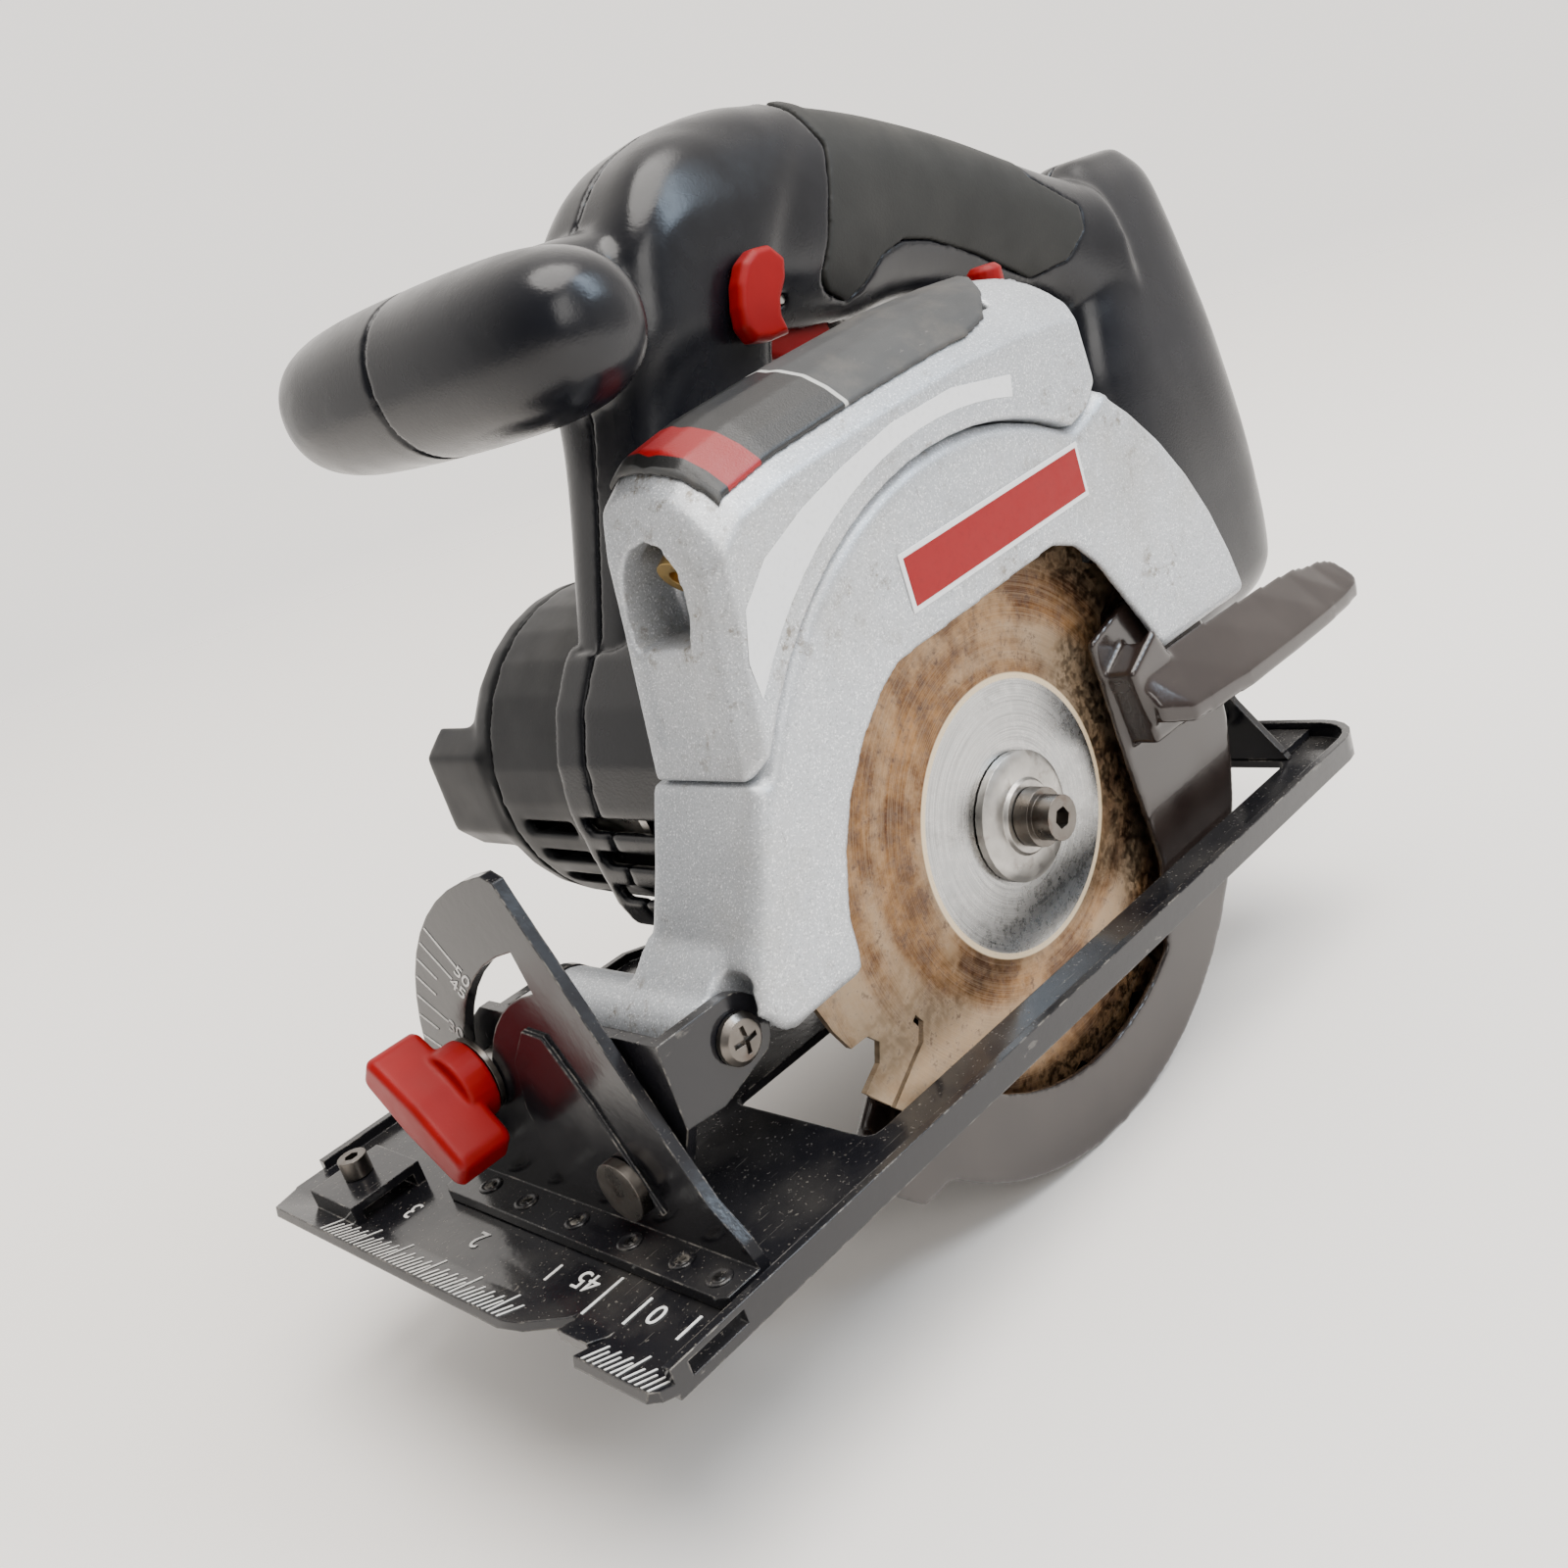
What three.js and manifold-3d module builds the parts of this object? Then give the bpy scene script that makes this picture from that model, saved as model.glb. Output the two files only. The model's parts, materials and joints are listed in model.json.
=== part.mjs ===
// Cordless circular trim saw, blade on the left, with bevel and depth adjustment.
// Millimetres. X is the cutting direction, Y points to the blade side, Z is up.
// The solids are drawn with Y = 0 in the blade's plane. The finished saw is then moved
// sideways, so that its origin lies on the shoe's underside, abeam of the arbor.

import * as THREE from "three";
import { mergeVertices } from "three/addons/utils/BufferGeometryUtils.js";
import Module from "manifold-3d";

const wasm = await Module();
wasm.setup();

// ---- Driving dimensions ----

const GAP = 0.3;
const SOLE_OFFSET = 75;
const ARBOR = { x: 0, z: 33.7 };
const DEPTH_PIVOT = { x: 91, z: 35.5 };
const TILT_AXIS = { y: -12, z: 15 };
const MOTOR = { x: 25, z: 65, bandRadius: 41.4, housingRadius: 38.3 };
const PARTING_Y = -50;

const BLADE = { radius: 70, thickness: 1.4, teeth: 16 };
const WASHER_BORE = 5.2;
const ARBOR_SCREW_RADIUS = 4.9;
const LOWER_GUARD = { radius: 76.5, wall: 2.2, left: 7, right: -9.5, hub: 19.3 };
const UPPER_GUARD = { left: 11, right: -20, wall: 2.2, chamber: 78.5, step: 82 };
const HOUSING_LEFT = 11.8;
const LASER_BUTTON = { x: -55, y: -13.6, radius: 4 };

const SHOE = { rear: -113, lip: 133, front: 141, left: 22, right: -118, thick: 2, rim: 6 };
const OPENING = { rear: -96, front: 72, left: 8, right: -32 };
const FENCE_SLOT = { rear: 119.6, front: 132.4, top: 4.8 };

const QUADRANT = { back: 108.5, front: 111, radius: 62, slotRadius: 43, slotHalf: 4.2 };
const BEVEL_RANGE = 50;
const BOLT_ANGLE = 158;
const BRACKET = { back: 104.5, front: 107, top: 43.6, left: 5.1, right: -46, thick: 2.5 };
const DEPTH_BOLT = { radius: 172, angle: 177.7, range: 24 };
const DEPTH_PLATE = { left: -28.5, right: -31 };

const SHELL_WALL = 2.8;
const RUBBER = 1.5;
const BAND = { left: -21.5, right: -61 };
const HOUSING_END = -90;
const CAP_END = -112;
const BATTERY_SOCKET = { front: -136, low: 44, high: 122, halfWidth: 15 };

const GEARS = {
  idler: { x: 26, z: 44.2 },
  pinion: 6,
  idlerWheel: 14.8,
  idlerPinion: 8.2,
  output: 19.7,
};

// ---- Geometry helpers ----

const radians = THREE.MathUtils.degToRad;

// Points [a, b] along an arc, angles in degrees.
function arc(a, b, radius, start, end, steps) {
  return Array.from({ length: steps + 1 }, (_, i) => {
    const angle = radians(start + ((end - start) * i) / steps);
    return [a + radius * Math.cos(angle), b + radius * Math.sin(angle)];
  });
}

function circle(a, b, radius, steps) {
  return arc(a, b, radius, 0, 360, steps).slice(0, -1);
}

// The convex outline round a set of points, anticlockwise.
function hull(points) {
  const sorted = [...points].sort((p, q) => p[0] - q[0] || p[1] - q[1]);
  const turn = (o, p, q) => (p[0] - o[0]) * (q[1] - o[1]) - (p[1] - o[1]) * (q[0] - o[0]);
  const half = (list) => {
    const chain = [];
    for (const p of list) {
      while (chain.length > 1 && turn(chain.at(-2), chain.at(-1), p) <= 1e-9) chain.pop();
      chain.push(p);
    }
    return chain.slice(0, -1);
  };
  return [...half(sorted), ...half(sorted.reverse())];
}

// A closed three.js geometry as a manifold-3d solid.
function solid(geometry) {
  const bare = geometry.clone();
  bare.deleteAttribute("normal");
  bare.deleteAttribute("uv");
  const merged = mergeVertices(bare, 1e-3);
  const mesh = new wasm.Mesh({
    numProp: 3,
    vertProperties: merged.attributes.position.array,
    triVerts: new Uint32Array(merged.index.array),
  });
  return new wasm.Manifold(mesh);
}

function geometryOf(body) {
  const mesh = body.getMesh();
  const geometry = new THREE.BufferGeometry();
  geometry.setAttribute("position", new THREE.BufferAttribute(mesh.vertProperties, 3));
  geometry.setIndex(new THREE.BufferAttribute(mesh.triVerts, 1));
  const flat = geometry.toNonIndexed();
  flat.computeVertexNormals();
  return flat;
}

// Each plane says where an outline's two coordinates and the extrusion's depth go.
const PLANES = {
  XY: [new THREE.Vector3(1, 0, 0), new THREE.Vector3(0, 1, 0), new THREE.Vector3(0, 0, 1)],
  YZ: [new THREE.Vector3(0, 1, 0), new THREE.Vector3(0, 0, 1), new THREE.Vector3(1, 0, 0)],
  XZ: [new THREE.Vector3(1, 0, 0), new THREE.Vector3(0, 0, 1), new THREE.Vector3(0, -1, 0)],
};

// An outline pushed from low to high along the axis across its plane, with an optional bevel.
function prism(plane, points, low, high, bevel = 0) {
  const shape = new THREE.Shape(points.map(([a, b]) => new THREE.Vector2(a, b)));
  const geometry = new THREE.ExtrudeGeometry(shape, {
    depth: high - low - 2 * bevel,
    steps: 1,
    bevelEnabled: bevel > 0,
    bevelThickness: bevel,
    bevelSize: bevel,
    bevelOffset: -bevel,
    bevelSegments: 1,
  });
  const start = plane === "XZ" ? high - bevel : low + bevel;
  const axis = { XY: [0, 0, start], YZ: [start, 0, 0], XZ: [0, start, 0] }[plane];
  geometry.applyMatrix4(new THREE.Matrix4().makeBasis(...PLANES[plane]).setPosition(...axis));
  return solid(geometry);
}

function box(x0, x1, y0, y1, z0, z1) {
  const geometry = new THREE.BoxGeometry(x1 - x0, y1 - y0, z1 - z0);
  geometry.translate((x0 + x1) / 2, (y0 + y1) / 2, (z0 + z1) / 2);
  return solid(geometry);
}

// A solid of revolution about the Y axis through (x, z), from pairs [radius, y].
function lathe(x, z, profile, steps) {
  const points = profile.map(([radius, y]) => new THREE.Vector2(radius, y));
  const geometry = new THREE.LatheGeometry(points, steps);
  geometry.translate(x, 0, z);
  const made = solid(geometry);
  if (made.volume() > 0) return made;
  return lathe(x, z, [...profile].reverse(), steps);
}

function cylinderY(at, radius, low, high, steps = 20) {
  return prism("XZ", circle(at.x, at.z, radius, steps), low, high);
}

function cylinderX(at, radius, low, high, steps = 24) {
  return prism("YZ", circle(at.y, at.z, radius, steps), low, high);
}

function cylinderZ(x, y, radius, low, high, steps = 16) {
  return prism("XY", circle(x, y, radius, steps), low, high);
}

function ringY(at, outer, inner, low, high, steps = 20) {
  return cylinderY(at, outer, low, high, steps).subtract(
    cylinderY(at, inner, low - 1, high + 1, steps),
  );
}

function join(...bodies) {
  return bodies.reduce((all, body) => all.add(body));
}

// A skin drawn over a stack of rings with equally many points, closed at both ends.
function loft(rings) {
  const count = rings[0].length;
  const points = rings.flat();
  const faces = [];
  for (let r = 0; r + 1 < rings.length; r++) {
    for (let i = 0; i < count; i++) {
      const a = r * count + i;
      const b = r * count + ((i + 1) % count);
      faces.push(a, b, b + count, a, b + count, a + count);
    }
  }
  const last = (rings.length - 1) * count;
  for (let i = 1; i + 1 < count; i++) {
    faces.push(0, i + 1, i);
    faces.push(last, last + i, last + i + 1);
  }
  const geometry = new THREE.BufferGeometry().setFromPoints(points);
  geometry.setIndex(faces);
  const made = solid(geometry);
  if (made.volume() > 0) return made;
  return loft([...rings].reverse());
}

// A rounded ring: halfA and halfB are its half sizes, power 2 is an ellipse and more is squarer.
function ovalRing(halfA, halfB, power, count, place) {
  return Array.from({ length: count }, (_, i) => {
    const angle = (2 * Math.PI * i) / count;
    const c = Math.cos(angle);
    const s = Math.sin(angle);
    const a = halfA * Math.sign(c) * Math.abs(c) ** (2 / power);
    const b = halfB * Math.sign(s) * Math.abs(s) ** (2 / power);
    return place(a, b);
  });
}

// Level rings from rows [z, xFront, xRear, halfWidth], all about the parting plane.
function uprightLoft(rows, inset, power = 3.2) {
  const count = inset > 2 ? 10 : 16;
  return loft(
    rows.map(([z, front, rear, half]) =>
      ovalRing((front - rear) / 2 - inset, half - inset, power, count, (a, b) =>
        new THREE.Vector3((front + rear) / 2 + a, PARTING_Y + b, z),
      ),
    ),
  );
}

// Upright rings from rows [x, zTop, zBottom, halfWidth], all about the parting plane.
function lyingLoft(rows, inset, power = 2.6) {
  const count = inset > 2 ? 10 : 16;
  return loft(
    rows.map(([x, top, bottom, half]) =>
      ovalRing((top - bottom) / 2 - inset, half - inset, power, count, (a, b) =>
        new THREE.Vector3(x, PARTING_Y + b, (top + bottom) / 2 + a),
      ),
    ),
  );
}

// A spiral of wire about the Y axis, from angle and pitch, with a round section.
function coil(center, radius, wire, turns, pitch, axis, sides = 6, stepsPerTurn = 14) {
  const steps = Math.round(turns * stepsPerTurn);
  const at = (i) => {
    const angle = (2 * Math.PI * i) / stepsPerTurn;
    const along = (pitch * i) / stepsPerTurn;
    const c = radius * Math.cos(angle);
    const s = radius * Math.sin(angle);
    return axis === "Y"
      ? new THREE.Vector3(center.x + c, center.y + along, center.z + s)
      : new THREE.Vector3(center.x + along, center.y + c, center.z + s);
  };
  const curve = new THREE.CatmullRomCurve3(Array.from({ length: steps + 1 }, (_, i) => at(i)));
  const section = new THREE.Shape(
    circle(0, 0, wire, sides).map(([a, b]) => new THREE.Vector2(a, b)),
  );
  const tube = new THREE.ExtrudeGeometry(section, { steps, extrudePath: curve });
  return solid(tube);
}

// ---- Scene assembly ----

const saw = new THREE.Group();
saw.name = "trim_saw";
saw.position.y = SOLE_OFFSET;

const FINISH = {
  blackPaint: { color: 0x16171a, roughness: 0.35, metalness: 0.4 },
  blackPlastic: { color: 0x141518, roughness: 0.45, metalness: 0 },
  greyPlastic: { color: 0x2c2d2f, roughness: 0.6, metalness: 0 },
  rubber: { color: 0x383834, roughness: 0.85, metalness: 0 },
  silver: { color: 0xb4bcc4, roughness: 0.42, metalness: 0.6 },
  steel: { color: 0x9a9a98, roughness: 0.35, metalness: 1 },
  darkSteel: { color: 0x3a3836, roughness: 0.35, metalness: 1 },
  rustySteel: { color: 0x8a5a34, roughness: 0.5, metalness: 0.9 },
  smoke: { color: 0x352a26, roughness: 0.25, metalness: 0 },
  red: { color: 0xc4222c, roughness: 0.45, metalness: 0 },
  brass: { color: 0xa8823e, roughness: 0.35, metalness: 1 },
  copper: { color: 0x9c5a30, roughness: 0.4, metalness: 1 },
};

function add(name, body, finish) {
  const mesh = new THREE.Mesh(geometryOf(body), new THREE.MeshStandardMaterial(FINISH[finish]));
  mesh.name = name;
  saw.add(mesh);
}

// ---- Shoe ----

// The shoe's rim runs round the rear and both sides. Front is where the outline is cut off.
function rimOutline(inset, front) {
  const left = SHOE.left - inset;
  const rear = 12 - inset;
  const narrow = SHOE.right + 7 + inset;
  return [
    [front, left],
    ...arc(SHOE.rear + 12, SHOE.left - 12, rear, 90, 180, 5),
    ...arc(SHOE.rear + 8, SHOE.right + 15, 8 - inset, 180, 270, 4),
    [22, narrow],
    [31, SHOE.right + inset],
    [front, SHOE.right + inset],
  ];
}

function shoePlate() {
  const { rear, front, lip, left, right, thick, rim } = SHOE;
  const section = [
    [rear, 0],
    [lip, 0],
    [front, 3],
    [front - 0.7, 4.8],
    [lip - 0.4, thick],
    [rear, thick],
  ];
  const edge = [
    ...rimOutline(0, lip - 1).slice(1, -1),
    [lip - 1, right],
    [front, right + 9],
    [front, -22],
    [front - 2, -17],
    [front - 10, -10.6],
    [front - 4.5, -9.4],
    [front - 4.5, -1],
    [front - 9.5, 0],
    [front, 1.2],
    [front, left - 1.5],
    [front - 2, left],
  ];
  const sheet = prism("XZ", section, right, left).intersect(prism("XY", edge, -1, 12));
  const wall = prism("XY", rimOutline(0, lip + 3), 0, rim)
    .subtract(prism("XY", rimOutline(2, lip + 9), -1, rim + 1))
    .subtract(box(-120, 160, right - 1, right + 18, 4.4, rim + 1))
    .subtract(box(lip - 8, lip + 9, right - 1, right + 18, -1, rim + 1));
  const bridge = box(
    FENCE_SLOT.rear - 2.2, FENCE_SLOT.front + 2.2, -102, -84, thick - 1, 7,
  ).subtract(box(FENCE_SLOT.rear, FENCE_SLOT.front, -103, -83, thick, FENCE_SLOT.top + 0.2));
  return join(sheet, wall, bridge)
    .subtract(prism("XY", openingOutline(), -1, 5))
    .subtract(box(FENCE_SLOT.rear, FENCE_SLOT.front, left - 3, left + 1, thick, FENCE_SLOT.top))
    .subtract(box(FENCE_SLOT.rear + 1, FENCE_SLOT.front - 1, -108, -102.5, -1, thick + 1))
    .subtract(prism("XY", circle(126, -95, 2.4, 12), thick + 1, 8));
}

function openingOutline() {
  const { rear, front, left, right } = OPENING;
  const r = 3;
  return [
    ...arc(front - r, left - r, r, 0, 90, 3),
    ...arc(rear + r, left - r, r, 90, 180, 3),
    ...arc(rear + r, right + r, r, 180, 270, 3),
    ...arc(front - r, right + r, r, 270, 360, 3),
  ];
}

function fenceScrew() {
  const thread = prism("XY", circle(126, -95, 2.1, 12), FENCE_SLOT.top + 0.4, 8);
  const head = prism("XY", circle(126, -95, 3.2, 16), 7.3, 11.5);
  return join(thread, head).subtract(prism("XY", circle(126, -95, 1.6, 6), 9, 12));
}

// Upright plate with the bevel scale and its arc slot, bent forward into a foot on the shoe.
function bevelQuadrant() {
  const { back, front, radius, slotRadius, slotHalf } = QUADRANT;
  const { y, z } = TILT_AXIS;
  const low = SHOE.thick + GAP;
  const plate = prism("YZ", [
    [17, low], [17, low + 2.3], [14.5, 9], [9, 15], [4, 25], [-17, 71], [-18.6, 75],
    ...arc(y, z, radius, 99, 188, 14),
    [-73.5, low],
  ], back, front);
  const foot = prism("XY", [
    [back, -73.5], [front + 7.6, -72], [front + 8.6, -70], [front + 8.6, 15], [front + 7.6, 17],
    [back, 17],
  ], low, low + 2.3);
  const first = BOLT_ANGLE + 4.6;
  const last = BOLT_ANGLE - BEVEL_RANGE - 6;
  const slot = prism("YZ", [
    ...arc(y, z, slotRadius + slotHalf, first, last, 8),
    ...arc(y, z, slotRadius - slotHalf, last, first, 8),
  ], back - 1, front + 3);
  const tongue = prism("YZ", [
    [-35, 10], [-38, 26], [-35, 37], [-28, 44.5], [-22, 44], [-15, 32], [-5, 10],
  ], front - 0.5, front + 0.9);
  return join(plate, foot, tongue)
    .subtract(slot)
    .subtract(cylinderX(TILT_AXIS, 3.3, back - 1, front + 3, 16));
}

function frontTiltPin() {
  const shank = cylinderX(TILT_AXIS, 3, 102, QUADRANT.front + 3, 16);
  const head = cylinderX(TILT_AXIS, 6, QUADRANT.front + 1.2, QUADRANT.front + 3.4, 20);
  const collar = cylinderX(TILT_AXIS, 6, 101.4, BRACKET.back - GAP, 20);
  return join(shank, head, collar);
}

const REAR_PIVOT = { ear: -98.5, earFront: -96.3, lug: -89, lugFront: -86.5 };

function rearEar() {
  const low = SHOE.thick + GAP;
  const { y, z } = TILT_AXIS;
  const ear = prism("YZ", [
    [8, low], ...arc(y, z, 9, 20, 160, 8), [-32, low],
  ], REAR_PIVOT.ear, REAR_PIVOT.earFront);
  const foot = box(SHOE.rear + 2.5, REAR_PIVOT.earFront, -31, 7, low, low + 2);
  return join(ear, foot).subtract(
    cylinderX(TILT_AXIS, 3.3, REAR_PIVOT.ear - 1, REAR_PIVOT.earFront + 1, 16),
  );
}

function rearTiltPin() {
  const shank = cylinderX(TILT_AXIS, 3, -103, -83.5, 16);
  const head = cylinderX(TILT_AXIS, 5, -102.6, -98.9, 16);
  return join(shank, head).subtract(box(-104, -101.6, -18, -6, 14.3, 15.7));
}

// ---- Tilt frame ----

const BEVEL_BOLT = {
  y: TILT_AXIS.y + QUADRANT.slotRadius * Math.cos(radians(BOLT_ANGLE)),
  z: TILT_AXIS.z + QUADRANT.slotRadius * Math.sin(radians(BOLT_ANGLE)),
};

// U bracket: a web behind the quadrant and two ears that carry the depth pivot.
function tiltBracket() {
  const { back, front, top, left, right, thick } = BRACKET;
  const web = prism("YZ", [
    ...hull([
      ...circle(TILT_AXIS.y, TILT_AXIS.z, 8.6, 16),
      ...circle(BEVEL_BOLT.y, BEVEL_BOLT.z, 9.5, 16),
      [left, top], [left, 27], [-50, top],
    ]),
  ], back, front);
  const side = [
    [front, 27], [front, top], ...arc(DEPTH_PIVOT.x, DEPTH_PIVOT.z, 8.1, 90, 225, 8), [98, 26],
  ];
  const leftEar = prism("XZ", side, left - thick, left);
  const rightEar = prism("XZ", side, right, right + thick);
  return join(web, leftEar, rightEar)
    .subtract(cylinderX(TILT_AXIS, 3.3, back - 1, front + 1, 16))
    .subtract(cylinderX(BEVEL_BOLT, 3.3, back - 1, front + 1, 16))
    .subtract(cylinderY(DEPTH_PIVOT, 3.3, right - 1, left + 1, 16));
}

function depthPivotScrew() {
  const { left, right } = BRACKET;
  const shank = cylinderY(DEPTH_PIVOT, 3, right - 4, left + 1, 16);
  const head = lathe(DEPTH_PIVOT.x, DEPTH_PIVOT.z, [
    [0, left + GAP], [4.9, left + GAP], [4.9, left + 1.3], [3.8, left + 2.3], [0, left + 2.9],
  ], 20);
  const nut = cylinderY(DEPTH_PIVOT, 5, right - 4.5, right - GAP, 6);
  const cross = join(
    box(DEPTH_PIVOT.x - 2.7, DEPTH_PIVOT.x + 2.7, left + 1.4, left + 4, 35, 36),
    box(DEPTH_PIVOT.x - 0.5, DEPTH_PIVOT.x + 0.5, left + 1.4, left + 4, 32.8, 38.2),
  );
  return join(shank, head, nut).subtract(cross);
}

function bevelBolt() {
  const head = cylinderX(BEVEL_BOLT, 5.5, BRACKET.back - 3.3, BRACKET.back - GAP, 20);
  const shank = cylinderX(BEVEL_BOLT, 3, BRACKET.back - 1, 124, 16);
  return join(head, shank);
}

function bevelWasher() {
  const { front } = QUADRANT;
  return cylinderX(BEVEL_BOLT, 8, front + GAP, front + 1.5, 20).subtract(
    cylinderX(BEVEL_BOLT, 3.3, front, front + 3, 16),
  );
}

// Wing knob: a round hub and a thick wing turned 42 degrees down to the blade side.
function bevelKnob() {
  const hub = cylinderX(BEVEL_BOLT, 8.4, QUADRANT.front + 1.8, 119, 24);
  const along = [Math.cos(radians(-42)), Math.sin(radians(-42))];
  const wing = [
    [-14, -3], [-12.5, -4.2], [0, -5.4], [14, -4.2], [15.8, -3],
    [15.8, 3], [14, 4.2], [0, 5.4], [-12.5, 4.2], [-14, 3],
  ].map(([a, b]) => [
    BEVEL_BOLT.y + a * along[0] - b * along[1],
    BEVEL_BOLT.z + a * along[1] + b * along[0],
  ]);
  return join(hub, prism("YZ", wing, 116.4, 128.5, 1)).subtract(
    cylinderX(BEVEL_BOLT, 3.3, 112, 124.6, 16),
  );
}

const depthPoint = (radius, angle) => [
  DEPTH_PIVOT.x + radius * Math.cos(radians(angle)),
  DEPTH_PIVOT.z + radius * Math.sin(radians(angle)),
];

const [boltX, boltZ] = depthPoint(DEPTH_BOLT.radius, DEPTH_BOLT.angle);
const DEPTH_BOLT_AT = { x: boltX, z: boltZ };

// Slotted arc plate for the depth setting, with a lug on the rear tilt axis.
function depthBracket() {
  const { radius, angle, range } = DEPTH_BOLT;
  const { left, right } = DEPTH_PLATE;
  const { x, z } = DEPTH_PIVOT;
  const high = angle - range;
  const arm = prism("XZ", [
    [-93, 9], [-82, 9],
    ...arc(x, z, radius - 9, angle + 4, high - 4, 10),
    ...arc(x, z, radius + 9, high - 4, angle + 4, 10),
  ], right, left);
  const slot = prism("XZ", [
    ...arc(x, z, radius + 3.4, angle + 1.4, high - 1.4, 8),
    ...arc(x, z, radius - 3.4, high - 1.4, angle + 1.4, 8),
  ], right - 1, left + 1);
  const lug = prism("YZ", [
    [right, 9], ...arc(TILT_AXIS.y, TILT_AXIS.z, 7, -60, 90, 6), [right, 24],
  ], REAR_PIVOT.lug, REAR_PIVOT.lugFront);
  return join(arm, lug)
    .subtract(slot)
    .subtract(cylinderX(TILT_AXIS, 3.3, REAR_PIVOT.lug - 1, REAR_PIVOT.lugFront + 1, 16));
}

function rearSpring() {
  const start = { x: REAR_PIVOT.earFront + 1, y: TILT_AXIS.y, z: TILT_AXIS.z };
  return coil(start, 4.9, 0.6, 3.2, 1.6, "X", 6, 12);
}

// ---- Saw head: castings ----

// The guard's window on the blade side, which shows the blade and its screw.
function windowOutline() {
  return [
    [62.7, 25], [62.7, 33.3], [61.5, 45], [57.5, 55.5], [52.5, 64], [44.5, 72.5], [36.5, 78.5],
    [30.5, 81.3], [6.7, 83], [-23, 85.2], [-30.5, 82.6], [-37, 76], [-44.5, 64], [-53, 49.5],
    [-53, 25],
  ];
}

// Front column of the guard, from the sole up to the laser housing.
const COLUMN = [
  [80.8, 31.7], [84.5, 32.9], [88.4, 38.6], [87, 46], [79.6, 60.7], [73, 75.6],
];

function upperGuard() {
  const { left, right, wall, chamber, step } = UPPER_GUARD;
  const outline = [
    [62, 32.4],
    ...COLUMN,
    ...arc(ARBOR.x, ARBOR.z, step - GAP, 31, 118, 12),
    [-46, 108], [-52, 110.5],
    ...arc(ARBOR.x, ARBOR.z, 93, 124, 170, 6),
    [-53, 49.5],
    [-40, 20],
    ...arc(ARBOR.x, ARBOR.z, 28, 215, 320, 6),
    [40, 20],
  ];
  const body = prism("XZ", outline, right, left, 2.2);
  const hollow = cylinderY(ARBOR, chamber, right + 6, left - wall, 40);
  const window = prism("XZ", windowOutline(), left - wall - 1, left + 1);
  const below = prism("XZ", [
    [62.5, -5], [62.5, 33.2], [-53.2, 49.2], [-53.2, -5],
  ], right + 6, left + 1);
  const rearPocket = prism("XZ", [
    ...arc(ARBOR.x, ARBOR.z, 90.8, 127, 168, 6), [-60, 45], [-50, 80],
  ], right + 6, left - wall);
  const hub = ringY(ARBOR, 19, 13.3, right + 4, -6.6, 28);
  const boss = cylinderY(DEPTH_PIVOT, 8, BRACKET.right + 2.9, BRACKET.left - 2.9, 20);
  const neck = prism("XZ", [
    [74, 46], [74, 33], [DEPTH_PIVOT.x, 28.5], [96, 33], [95, 41], [85, 50],
  ], right, BRACKET.left - 2.9);
  const earRoom = prism("XZ", [
    [81.6, 20], [81.6, 41], [84, 46], [108, 46], [108, 20],
  ], BRACKET.left - 2.8, left - 2.4);
  return join(body.subtract(earRoom), boss, neck)
    .subtract(hollow)
    .subtract(rearPocket)
    .subtract(window)
    .subtract(below)
    .add(hub)
    .subtract(cylinderY(ARBOR, 13.3, right - 1, -5, 28))
    .subtract(cylinderY(DEPTH_PIVOT, 3.3, -60, 20, 16));
}

// The housing's arched roof: pairs [x, crest height], highest 8 mm right of the blade's plane.
const CREST = [
  [-70, 130], [-60, 136.4], [-50, 138.8], [-40, 140.2], [-26, 140.6], [-7, 140.2], [17.6, 137.9],
  [45, 134.6], [58, 131.8], [64, 127.5], [69, 118], [80, 96],
];

// Everything under the roof, with the roof raised by the lift.
function underRoof(lift) {
  const fall = [
    [-22, 12], [-18, 3.4], [-13, 0.7], [-8, 0], [-3, 0.8], [2, 3], [6, 6.2], [9.6, 10.2], [14, 16],
  ];
  return loft(CREST.map(([x, z]) => [
    new THREE.Vector3(x, -22, 60),
    ...fall.map(([y, drop]) => new THREE.Vector3(x, y, z + lift - drop)),
    new THREE.Vector3(x, 14, 60),
  ]));
}

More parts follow.
